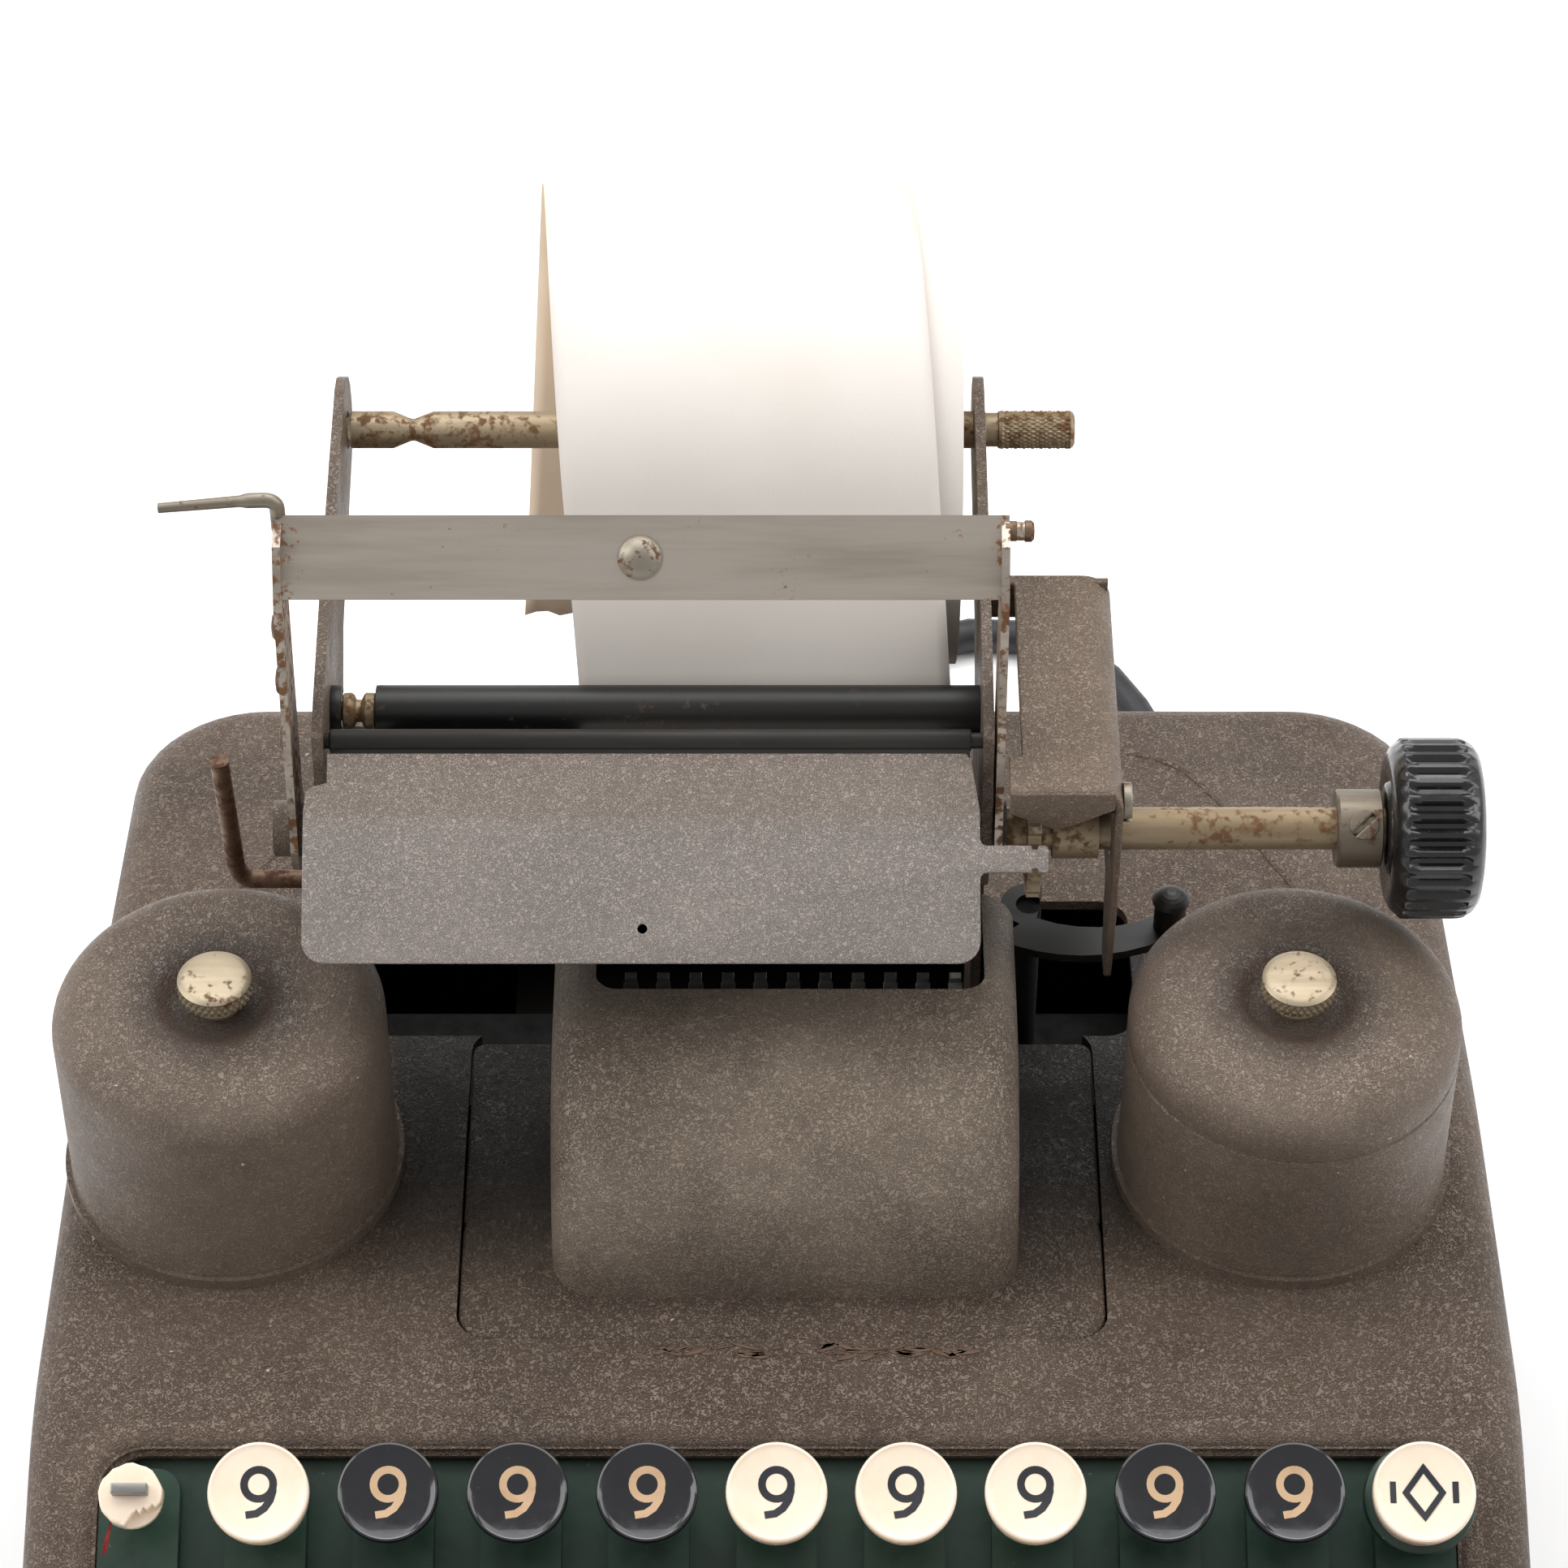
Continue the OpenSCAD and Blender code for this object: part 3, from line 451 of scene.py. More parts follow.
def tube(points, radius, sides=16):
    """A round tube through points; radius is one number or one for each point."""
    points = [Vector(p) for p in points]
    n = len(points)
    radii = radius if isinstance(radius, (list, tuple)) else [radius] * n
    ways = [(points[min(i + 1, n - 1)] - points[max(i - 1, 0)]).normalized() for i in range(n)]
    side = ways[0].orthogonal().normalized()
    verts = []
    for p, d, r in zip(points, ways, radii):
        side = (side - d * side.dot(d)).normalized()
        other = d.cross(side)
        verts += [p + r * (math.cos(a) * side + math.sin(a) * other)
                  for a in (2 * math.pi * k / sides for k in range(sides))]
    return verts, grid_faces(n, sides) + ends(n, sides)


def bend(points, radius, steps=5):
    """Rounds the corners of a path of 3-D points."""
    points = [Vector(p) for p in points]
    out = [points[0]]
    for before, here, after in zip(points, points[1:], points[2:]):
        a, b = (before - here), (after - here)
        cut = min(radius, a.length / 2, b.length / 2)
        start, end = here + a.normalized() * cut, here + b.normalized() * cut
        for i in range(steps + 1):
            t = i / steps
            out.append((1 - t) ** 2 * start + 2 * t * (1 - t) * here + t * t * end)
    return out + [points[-1]]


def turned(profile, centre, x0=0, steps=48, wobble=None):
    """A lathe shape lying along +X from x0, round the line through centre."""
    verts, faces = lathe(profile, steps, wobble)
    start = Vector((x0, centre.y, centre.z))
    return [tuple(ALONG_X @ Vector(v) + start) for v in verts], faces


def plate(outline, z0, z1, edge=0.01, where=UPRIGHT):
    return moved(soft_prism(outline, z0, z1, edge), where)


def cut(piece, *cutters):
    """Subtracts closed shapes from a piece and keeps its materials."""
    tools = [new_object("cutter", solid_mesh("cutter", *shape)) for shape in cutters]
    for tool in tools:
        change = piece.modifiers.new("cut", "BOOLEAN")
        change.operation, change.object, change.solver = "DIFFERENCE", tool, "EXACT"
    bpy.context.view_layer.update()
    result = bpy.data.meshes.new_from_object(
        piece.evaluated_get(bpy.context.evaluated_depsgraph_get()))
    piece.modifiers.clear()
    old, piece.data = piece.data, result
    bpy.data.meshes.remove(old)
    for tool in tools:
        bpy.data.meshes.remove(tool.data)


def slice_mesh(bm, point, normal, **options):
    everything = list(bm.verts) + list(bm.edges) + list(bm.faces)
    return bmesh.ops.bisect_plane(bm, geom=everything, plane_co=point, plane_no=normal, **options)


def bevelled(piece, width, angle):
    change = piece.modifiers.new("edges", "BEVEL")
    change.width, change.segments = width * MM, 2
    change.limit_method, change.angle_limit = "ANGLE", rad(angle)
    change.use_clamp_overlap = True


# ---- mains cord: six foot lead, the spare part of it in a round coil behind the casing ----
CORD_R = 3.5
CORD_ROUTE = [
    (82, 199.5, 30), (82, 204, 29.6), (82, 213, 27.5), (82, 222, 23), (81.8, 231, 16.5),
    (81.5, 240, 10), (81, 249, 5.5), (79.6, 258, 3.7), (77, 267, 3.5), (73.5, 276, 3.5),
    (68.5, 285, 3.5), (61, 293, 3.5), (51, 298, 3.5), (40, 298.5, 3.5), (29.5, 295, 3.5),
    (21, 287.5, 3.5), (16, 277, 3.5), (14.6, 265, 3.5), (14.6, 252, 3.5), (14.6, 240, 3.5),
    (14.6, 230, 3.5)]
COIL_X, COIL_Y, COIL_OUTER = -29.4, 220, 44
PLUG_X, PLUG_Y, PLUG_MID = COIL_X - 4, COIL_Y - 37, 28.5
HOLE_X, HOLE_Z, HOLE_R = 82, 30, 5.1
CORD_HOLE = placed(HOLE_X, CASE_BACK, HOLE_Z, -90)


def ease(value, start, end):
    t = max(0.0, min(1.0, (value - start) / (end - start)))
    return t * t * (3 - 2 * t)


def coil_points(turns=6.25, per_turn=36):
    """Clockwise turns in three layers, spiralling in, out and in again, then up to the plug."""
    points = []
    for i in range(int(turns * per_turn) + 1):
        t = i / per_turn
        r = COIL_OUTER - 2 * CORD_R * (2 - abs(t % 4 - 2))
        z = CORD_R + 2 * CORD_R * (ease(t, 1.85, 2.15) + ease(t, 3.85, 4.15)) + 0.05
        lift = ease(t, 5.5, 6.15)
        r_top = COIL_OUTER - 1.8 * 2 * CORD_R
        if t > 5.8:
            r = r_top + (PLUG_X + 4 - COIL_X + COIL_Y - PLUG_Y - r_top) * ease(t, 5.8, turns)
        z += lift * (PLUG_MID - 5 * CORD_R)
        a = -2 * math.pi * t
        points.append((COIL_X + r * math.cos(a), COIL_Y + r * math.sin(a), z))
    return points


cord_line = [Vector(p) for p in CORD_ROUTE + coil_points() + [(PLUG_X - 2, PLUG_Y, PLUG_MID)]]
cord = add("mains_cord", *tube(cord_line, CORD_R, 12), cord_rubber, "chassis", "rubber",
           ("cord_lead", "cord_coil"))


def plug_shape():
    parts = Parts()
    body = round_rect(-11, -7.5, 11, 7.5, 3, 4)
    lie = placed(PLUG_X - 10, PLUG_Y, PLUG_MID, -90, "Y") @ Matrix.Rotation(rad(90), 4, "Z")
    parts.join(soft_prism(body, 0, 26, 1.6), lie)
    rings = [(4.5 - 0.12 * k + (0.5 if k % 2 else -0.3), 1.1 * k) for k in range(10)]
    parts.join(lathe([(0, -0.5)] + rings + [(0, 10.4)], 24),
               placed(PLUG_X - 10.5, PLUG_Y, PLUG_MID, 90, "Y"))
    for side in (-6.35, 6.35):
        blade = round_rect(-3.2, -0.75, 3.2, 0.75, 0.3, 2)
        parts.join(soft_prism(blade, 0, 16.5, 0.3, 2),
                   placed(PLUG_X - 35.5, PLUG_Y + side, PLUG_MID, -90, "Y"), 1)
    return parts.add("mains_plug", [cord_rubber, brass], "chassis", "rubber", ("plug",))


plug = plug_shape()
relief_rings = [(0, -5), (5, -5), (5, 0), (7.5, 0), (7.5, 2.6), (7.1, 3), (6, 3)]
relief_rings += [(6 - 0.058 * k - (0.55 if k % 4 in (2, 3) else 0), 3 + k) for k in range(1, 27)]
relief_rings += [(3.55, 29.8), (0, 29.8)]
relief = add("cord_relief", *moved(lathe(relief_rings, 32), CORD_HOLE), cord_rubber, "chassis",
             "rubber", ("strain_relief",))


# ---- stage and lights ----
def stage_floor():
    """A pale seamless floor that rises far behind the machine."""
    lines = [(-2.5, 0.0), (0.9, 0.0), (1.4, 0.02), (1.8, 0.15), (2.1, 0.45), (2.2, 3.0)]
    verts = [(x, y, z - 0.0002) for x in (-3.5, 3.5) for y, z in lines]
    n = len(lines)
    faces = [(k, k + 1, n + k + 1, n + k) for k in range(n - 1)]
    data = bpy.data.meshes.new("floor")
    data.from_pydata(verts, [], faces)
    g = Graph("floor", 0.85)
    data.materials.append(g.done(g.mix(g.noise(3, 2), (0.93, 0.93, 0.935), (0.95, 0.95, 0.95))))
    data.shade_smooth()
    floor = new_object("floor", data)


def lamp(name, place, aim, size, watts):
    data = bpy.data.lights.new(name, "AREA")
    data.shape, data.size, data.size_y = "RECTANGLE", *size
    data.energy = watts
    made = new_object(name, data)
    made.location = place
    made.rotation_euler = (Vector(aim) - Vector(place)).to_track_quat("-Z", "Y").to_euler()


stage_floor()
lamp("left_box", (-0.95, 0.05, 0.85), (0, 0.0, 0.12), (0.7, 0.9), 6.5)
lamp("right_box", (0.95, 0.1, 0.8), (0, 0.0, 0.12), (0.6, 0.9), 5)
lamp("top_box", (0.0, 0.45, 1.25), (0, 0.02, 0.12), (1.2, 0.7), 6.5)
lamp("back_wash", (0.0, 1.15, 1.5), (0.0, 1.35, 0.0), (2.2, 0.6), 15)
world = bpy.data.worlds.new("studio")
world.use_nodes = True
sky = world.node_tree.nodes["Background"].inputs
sky["Color"].default_value = (1, 1, 1, 1)
sky["Strength"].default_value = 0.55
bpy.context.scene.world = world
bpy.context.scene.view_settings.view_transform = "Standard"


# ---- casing ----
def case_outline():
    front, back, corner, nose = 115, 111, 22, 12
    return (arc(back - corner, CASE_BACK - corner, corner, 0, 90, 10)
            + arc(corner - back, CASE_BACK - corner, corner, 90, 180, 10)
            + arc(nose - front, CASE_FRONT + nose, nose, 180, 270, 6)
            + arc(front - nose, CASE_FRONT + nose, nose, 270, 360, 6))


DECK_FALL = BORDER / (CASE_BACK - 1.5 - at(82))     # slope of the deck behind at(82)
WELL = round_rect(-101.5, -164.4, 101.5, 9, 7, 8)


def case_body():
    """The casing's outer skin: a prism under three planes, with its folds and rim rounded."""
    bm = bmesh.new()
    low = [bm.verts.new((x, y, CASE_LOW)) for x, y in case_outline()]
    base = bm.faces.new(low)
    made = bmesh.ops.extrude_face_region(bm, geom=[base])
    raised = [v for v in made["geom"] if isinstance(v, bmesh.types.BMVert)]
    bmesh.ops.translate(bm, verts=raised, vec=(0, 0, 200))
    fall = math.atan(DECK_FALL)
    for point, tilt in ((SLOPE @ Vector((0, 0, -BORDER)), -TILT), ((0, 0, SHELF_Z), 0),
                        ((0, at(82), SHELF_Z), fall)):
        normal = (0, math.sin(tilt), math.cos(tilt))
        sliced = slice_mesh(bm, point, normal, clear_outer=True)
        rim = [e for e in sliced["geom_cut"] if isinstance(e, bmesh.types.BMEdge)]
        bmesh.ops.contextual_create(bm, geom=rim)
    bmesh.ops.recalc_face_normals(bm, faces=bm.faces)
    bm.normal_update()

    def is_top(face):
        return face.normal.z > 0.3

    folds = [e for e in bm.edges if len(e.link_faces) == 2 and all(map(is_top, e.link_faces))]
    bmesh.ops.bevel(bm, geom=folds, offset=9, segments=5, profile=0.5, affect="EDGES")
    bm.normal_update()
    rim = [e for e in bm.edges if len(e.link_faces) == 2
           and is_top(e.link_faces[0]) != is_top(e.link_faces[1])
           and min(abs(f.normal.z) for f in e.link_faces) < 0.2]
    bmesh.ops.bevel(bm, geom=rim, offset=6, segments=7, profile=0.5, affect="EDGES")
    bmesh.ops.delete(bm, geom=[f for f in bm.faces if f.normal.z < -0.9], context="FACES")
    for v in bm.verts:
        v.co *= MM
    data = bpy.data.meshes.new("case_body")
    bm.to_mesh(data)
    bm.free()
    data.materials.append(case_paint)
    piece = new_object("case_body", data)
    thicken(piece, 2)
    post = lathe([(0, -4), (4.3, -4), (4.3, 12), (0, 12)], 24)
    holes = [moved(lathe([(0, -6), (HOLE_R, -6), (HOLE_R, 6), (0, 6)], 32), CORD_HOLE)]
    holes += [moved(post, placed(x, SPOOL_Y, SHELF_Z - 6)) for x in SPOOL_X]
    cut(piece, plate(WELL, -20, -5, where=SLOPE),
        plate(round_rect(-49, at(32), 50.6, at(96), 5), up(-30), up(9)),
        plate(round_rect(-77, at(94.5), 58, at(128), 5), up(-40), up(9)), *holes)
    smooth(piece, 32)
    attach(piece, "chassis")
    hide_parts("case_shell")
    piece.modifiers.new("shading", "WEIGHTED_NORMAL").keep_sharp = True


def case_trim():
    """The folded lip of the keyboard well and the pressed ribs of the deck."""
    parts = Parts()
    lip = [(-4.6, -13.2), (-3.6, -12.75), (-2.4, -12.5), (-1.3, -12.6), (-0.4, -13.1),
           (0.15, -13.9), (0.5, -13.9), (0.9, -14.2), (1.0, -15.6), (0.4, -15.8), (-1.4, -15.2)]
    parts.join(ring_sweep(WELL, lip), SLOPE)

    rib_r, proud = 1.2, 0.4
    for path in ([(47, 172), (69, 165), (77, 152), (90, 124), (94, 112)],
                 [(-80, 148), (-92, 128), (-96, 114)]):
        lifted = [(x, at(d), deck_z(at(d)) - rib_r + proud) for x, d in path]
        parts.join(tube(bend(lifted, 6), rib_r, 10))
    parts.add("case_trim", case_paint, "chassis", "casing_paint")


def deck_z(y):
    """The height of the painted top at y, on the slope or on the deck behind it."""
    rise = SHELF_Z - KEY_Z + BORDER * math.cos(TILT)
    crest = at(BORDER * math.sin(TILT) + rise / math.tan(TILT))
    if y < crest:
        return SHELF_Z - (crest - y) * math.tan(TILT)
    return SHELF_Z - max(0.0, y - at(82)) * DECK_FALL


def glue_band():
    """Dried glue and dirt left along the foot of the hood."""
    rng = random.Random(7)
    parts = Parts()
    for _ in range(46):
        x = rng.uniform(-17, 30)
        y = at(29.6) + rng.uniform(-1.3, 1.3) * (1 - abs(x - 6) / 40)
        w, d = rng.uniform(0.8, 2.6), rng.uniform(0.25, 0.6)
        turn = Matrix.Translation((x, y, deck_z(y) + 0.02)) @ Matrix.Rotation(
            rng.uniform(-0.5, 0.5), 4, "Z")
        shape = [(w * math.cos(a) * rng.uniform(0.8, 1.1), d * math.sin(a) * rng.uniform(0.7, 1.1))
                 for a in (2 * math.pi * k / 9 for k in range(9))]
        parts.join(soft_prism(shape, -0.2, 0.16, 0.12, 2), turn)
    parts.add("glue_band", moulded("old_glue", (92, 70, 54), (70, 52, 40), 0.5, 0.2), "chassis",
              "casing_paint")


case_body()
case_trim()
glue_band()


# ---- keyboard ----
DIGIT_STROKES = {
    1: [[(-1.3, 2.3), (0.15, 3.4), (0.15, -3.4)]],
    2: [arc(0, 1.45, 1.95, 165, -35, 12) + [(-2.1, -3.4), (2.2, -3.4)]],
    3: [arc(-0.1, 1.75, 1.65, 150, -88, 12), arc(-0.1, -1.45, 1.95, 88, -150, 12)],
    4: [[(2.4, -1.5), (-2.4, -1.5), (0.9, 3.4), (0.9, -3.4)]],
    5: [[(1.8, 3.4), (-1.5, 3.4), (-1.75, 0.25)] + arc(-0.1, -1.25, 2.15, 122, -150, 14)],
    6: [[(1.5, 3.2), (-0.2, 2.2), (-1.6, 0.6)] + arc(0, -1.25, 2.15, 165, 525, 26)],
    7: [[(-2.1, 3.4), (2.2, 3.4), (-0.6, -3.4)]],
    8: [arc(0, 1.75, 1.65, 0, 360, 20), arc(0, -1.45, 1.95, 0, 360, 24)],
    9: [arc(0, 1.25, 2.15, -15, 345, 26)[::-1] + [(2.1, 0.2), (1.75, -1.1), (0.95, -2.3),
                                                    (-0.2, -3.1), (-1.75, -3.35)]]}


DISH_R, DISH_DEPTH = 30, 0.9


def dish_height(x, y):
    return DISH_R - DISH_DEPTH - math.sqrt(max(0.0, DISH_R ** 2 - x * x - y * y))


def stroke(path, width, lift=0.05, depth=0.22):
    """A solid ribbon that follows a path over the key's dished top."""
    points = [Vector(p) for p in path]
    closed = (points[0] - points[-1]).length < 1e-4
    if closed:
        points.pop()
    n = len(points)
    verts = []
    for i, p in enumerate(points):
        before = points[i - 1] if closed or i else p
        after = points[(i + 1) % n] if closed or i < n - 1 else p
        first, second = (p - before).normalized(), (after - p).normalized()
        first = first if first.length else second
        way = (first + second).normalized()
        side = Vector((-way.y, way.x))
        reach = width / 2 / max(0.45, side.dot(Vector((-first.y, first.x))))
        for q in (p + side * reach, p - side * reach):
            z = dish_height(q.x, q.y) + lift
            verts += [(q.x, q.y, z), (q.x, q.y, z - depth)]
    faces = []
    for i in range(n if closed else n - 1):
        a, b = 4 * i, 4 * ((i + 1) % n)
        faces += [(a, a + 2, b + 2, b), (a + 1, b + 1, b + 3, a + 3), (a, b, b + 1, a + 1),
                  (a + 2, a + 3, b + 3, b + 2)]
    if not closed:
        end = 4 * (n - 1)
        faces += [(0, 1, 3, 2), (end, end + 2, end + 3, end + 1)]
    return verts, faces


def cap_profile(r=7.5, height=5.5):
    dish = [(q, dish_height(q, 0)) for q in (0.0, 1.8, 3.6, 5.0, 6.2, r - 0.75)]
    rim = [(r - 0.45, 0.04), (r - 0.18, -0.06), (r - 0.04, -0.3), (r, -0.7), (r - 0.03, -1.6),
           (r - 0.3, -4.0), (r - 0.5, -height + 0.35), (r - 0.85, -height), (0, -height)]
    return dish + rim


def stem_shape():
    return soft_prism(round_rect(-2.2, -0.6, 2.2, 0.6, 0.15, 2), -30, -5.4, 0.1, 1)


def on_key(x, v, w=0.0):
    return SLOPE @ Matrix.Translation((x, v, w))


KEY_LOOKS = "ckkkccckk"      # cream or black, column by column from the left
KEY_MATERIALS = [cream, black_key, dark_ink, tan_ink, plain_steel]


def keys_row(row):
    parts = Parts()
    v = -(9 - row) * PITCH
    for column, look in enumerate(KEY_LOOKS):
        place = on_key((column - 4) * PITCH, v)
        parts.join(lathe(cap_profile(), 56), place, 0 if look == "c" else 1)
        parts.join(stem_shape(), place, 4)
        for number, path in enumerate(DIGIT_STROKES[row]):
            parts.join(stroke(path, 1.12, 0.05 + 0.008 * number), place, 2 if look == "c" else 3)
    parts.add(f"key_tops_{row}", KEY_MATERIALS, f"row_{row}", "key_plastic", (f"keys_row_{row}",))


def function_key(word, column, row, material, slot="key_plastic", mark=(), skirt=False):
    place = on_key(column * PITCH, -(9 - row) * PITCH)
    parts = Parts().join(lathe(cap_profile(7.6 if skirt else 7.5), 64), place, 0)
    parts.join(stem_shape(), place, 1)
    for path in mark:
        parts.join(stroke(path, 0.9), place, 2)
    if skirt:
        parts.join(lathe([(0, -7), (8.2, -7), (8.45, -6.3), (8.2, -5.6), (7.4, -5.2), (0, -5.2)],
                         64), place, 3)
    parts.add(f"{word}_top", [material, plain_steel, dark_ink, green_paint], f"{word}_key_body", slot,
              (f"{word}_key",))


for row in range(1, 10):
    keys_row(row)
lozenge = [[(0, 3.6), (-2.7, 0), (0, -3.6), (2.7, 0), (0, 3.6)]]
bars = [[(-4.6, 1.6), (-4.6, -1.6)], [(4.6, 1.6), (4.6, -1.6)]]
cross = [[(-2.2, -2.2), (2.2, 2.2)], [(-2.2, 2.2), (2.2, -2.2)]]
function_key("subtotal", 5, 9, cream, mark=lozenge + bars, skirt=True)
function_key("total", 5, 8, red_key, "red_plastic")
function_key("error", -5, 7, cream, mark=cross)
function_key("repeat", -5, 5, cream, mark=[[(-2.6, 0.0), (2.6, 0.0)]])


def broken_key():
    """What is left of a key top: a cracked cream stub with its bare steel stem standing through it."""
    rng = random.Random(3)
    rim = [(x * rng.uniform(0.96, 1.03), y * rng.uniform(0.96, 1.03))
           for x, y in arc(0, 0, 4.75, -12, 262, 22)]
    crack = [(0.4, -2.9), (1.0, -2.2), (1.5, -2.9), (2.0, -1.9), (2.6, -2.3), (3.3, -1.5),
             (3.9, -1.9)]
    place = on_key(-5 * PITCH, 0, -2.0)
    parts = Parts().join(soft_prism(rim + crack, -3.5, -0.2, 0.35, 3), place, 0)
    lower = arc(0, 0, 4.6075, 0, 360, 28)[:-1]
    parts.join(soft_prism(lower, -3.6, -2.4, 0.2, 2), place, 0)
    parts.join(soft_prism(round_rect(-2.7, -0.2, 2.7, 1.4, 0.2, 2), -6, 1.9, 0.2, 2), place, 1)
    parts.join(stem_shape(), on_key(-5 * PITCH, 0), 1)
    parts.add("broken_top", [cream, plain_steel], "broken_key_body", "key_plastic",
              ("broken_key",))
    shard = [(0, 0), (1.0, 0.6), (1.5, 2.6), (2.3, 5.8), (1.5, 4.9), (0.9, 3.1), (0.4, 2.2)]
    chip = Parts().join(soft_prism(shard, -0.4, 0.4, 0.1, 1),
                        on_key(-100.6, -7.2, -13.6) @ Matrix.Rotation(0.12, 4, "Z"))
    chip.add("red_chip", red_key, "chassis", "red_plastic")


broken_key()


# ---- printing hood and type ----
def spots(points):
    return [(at(d), up(h)) for d, h in points]


def hood_outline(inset):
    return spots([(39 + inset, -7.0), (39 + inset, -6.2)]
                 + arc(74, -6, 35 - inset, 180, 90, 22) + [(93, 29 - inset)])


def printing_hood():
    x0, x1, r = -34.5, 37.0, 7.0
    rings = arc(x0 + r, r, r, 180, 270, 7)
    rings += [(x0 + x1 - x, inset) for x, inset in reversed(rings)]
    verts = [(x, y, z) for x, inset in rings for y, z in hood_outline(inset)]
    n = len(hood_outline(0))
    faces = grid_faces(len(rings), n, closed=False) + ends(len(rings), n)
    piece = add("printing_hood_skin", verts, faces, hood_paint, "chassis", "casing_paint",
                ("printing_hood",))
    thicken(piece, 1.5)
    cut(piece, plate(round_rect(-27.8, at(73), 31.9, at(104), 3.2), up(18), up(36)))
    smooth(piece, 40)
    bevelled(piece, 0.25, 50)
    tray = soft_prism(round_rect(-48.7, at(32.3), 50.3, at(58), 5), SHELF_Z - 3.5, SHELF_Z - 0.55,
                      0.5)
    foot = round_rect(x0, at(39), x1, at(57.5), 6.5, 6)
    fillet = ring_sweep(foot, [(-2.2, SHELF_Z - 0.7), (-1.2, SHELF_Z - 0.35),
                               (-0.3, SHELF_Z + 0.5), (0.4, SHELF_Z + 1.6),
                               (0.6, SHELF_Z - 1.0)])
    parts = Parts().join(tray).join(fillet)
    for left, right in ((-48.7, -34.2), (36.7, 50.3)):
        wing = round_rect(left, at(54), right, at(92), 2)
        parts.join(soft_prism(wing, SHELF_Z - 3.0, SHELF_Z - 0.6, 0.4))
    parts.add("hood_flange", case_paint, "chassis", "casing_paint")


def type_bars():
    parts = Parts()
    for i in range(11):
        x = -22.5 + 5 * i
        outline = spots([(75.5, -45), (79, -45), (79, 26), (77.8, 26), (77.4, 24.5), (75.5, 24.5)])
        parts.join(plate(outline[::-1], x - 0.9, x + 0.9, 0.12, YZ))
        head = spots([(75.3, 25.2), (77.6, 25.2), (77.6, 17.5), (75.3, 17.5)])
        parts.join(plate(head, x - 1.1, x + 1.1, 0.2, YZ))
    parts.add("type_bar_set", plain_steel, "type", "steel", ("type_bars",))


# ---- ribbon covers ----
def spool_cover(x, hand):
    r, h = 25.5, 36
    outer = [(r + 0.15, 0), (r + 0.15, 0.6), (r, 0.9), (r - 0.1, h - 10.5)]
    if hand == "right":                # this one has a crease pressed into its wall
        outer += [(r - 0.1, h - 9.4), (r - 0.38, h - 9.1), (r - 0.1, h - 8.6)]
    outer += arc(r - 5.7, h - 5.6, 5.6, 0, 90, 10)
    outer += [(15.5, h + 0.15), (11.5, h + 0.12), (9.8, h - 0.1), (8.6, h - 0.6), (7.6, h - 1.3),
              (6.4, h - 1.75), (4.5, h - 1.85), (2.4, h - 1.85)]
    inner = [(q - 0.9 if q > 12 else q, z - 0.9) for q, z in reversed(outer) if z > 1]
    shape = lathe(outer + inner + [(r - 0.9, 0), (r + 0.15, 0)], 112)
    shape = moved(shape, placed(x, SPOOL_Y, COVER_Z))
    add(f"cover_{hand}", *shape, cover_paint, "chassis", "cover_paint", (f"spool_cover_{hand}",))


def knurl(depth, count, pitch):
    """Crossed helical grooves, as a change of radius."""
    def change(a, h, r):
        if r < 1.0:
            return 0
        one = abs(((count * a / (2 * math.pi) + h / pitch) % 1) - 0.5) * 2
        two = abs(((count * a / (2 * math.pi) - h / pitch) % 1) - 0.5) * 2
        return -depth * max(0.0, 1.2 - 1.6 * min(one, two))
    return change


def cover_nut(x, hand):
    z0 = COVER_Z + 36 - 1.7
    teeth = knurl(0.34, 34, 1.6)

    def rough(a, h, r):
        return teeth(a, h, r) if 2.95 < h < 5.35 and r > 5.2 else 0
    rows = [(5.75, 2.8 + 0.3 * k) for k in range(1, 9)]
    profile = [(2.1, 0), (3.6, 0), (3.75, 0.7), (3.4, 1.0), (3.4, 2.5), (3.7, 2.8), (5.3, 2.8)] + \
        rows + [(5.6, 5.6), (5.15, 5.95), (4.6, 6.1), (2.6, 6.2), (0, 6.22)]
    shape = moved(lathe(profile, 204, rough), placed(x, SPOOL_Y, z0))
    add(f"thumb_nut_{hand}", *shape, nickel, f"nut_{hand}", "nickel", (f"cover_nut_{hand}",))


printing_hood()
type_bars()
for make in (spool_cover, cover_nut):
    for spool_x, hand in zip(SPOOL_X, ("left", "right")):
        make(spool_x, hand)


# ---- platen, knob and right housing ----
def platen_knob():
    """Black moulded knob with square flutes between two smooth shoulders."""
    start, end, fade, count, depth = 2.3, 12.2, 0.8, 30, 0.95

    def flutes(a, h, r):
        if not start < h < end or r < 12:
            return 0
        share = min(1.0, (h - start) / fade, (end - h) / fade)
        return -depth * share * max(0.0, min(1.0, 0.5 - math.cos(count * a) * 1.6))
    rim = [(13.3, 2.2), (13.75, 2.6), (13.8, 3.2), (13.8, 4.4), (13.8, 6.4), (13.8, 8.6),
           (13.8, 10.4), (13.75, 11.4), (13.6, 12.2)]
    profile = [(0, 0.2), (6.2, 0.2), (6.9, 0.5), (7.3, 1.2), (9.6, 0.5), (11.2, 0.6),
               (12.4, 1.2)] + rim + [(12.9, 13.4), (11.8, 14.2), (9.5, 14.7), (8.9, 14.3),
                                     (3.2, 14.2), (2.8, 13.4), (0, 13.4)]
    add("knob_body", *turned(profile, AXIS, KNOB_X, 240, flutes), bakelite, "platen_unit",
        "bakelite", ("platen_knob",), flat=50)


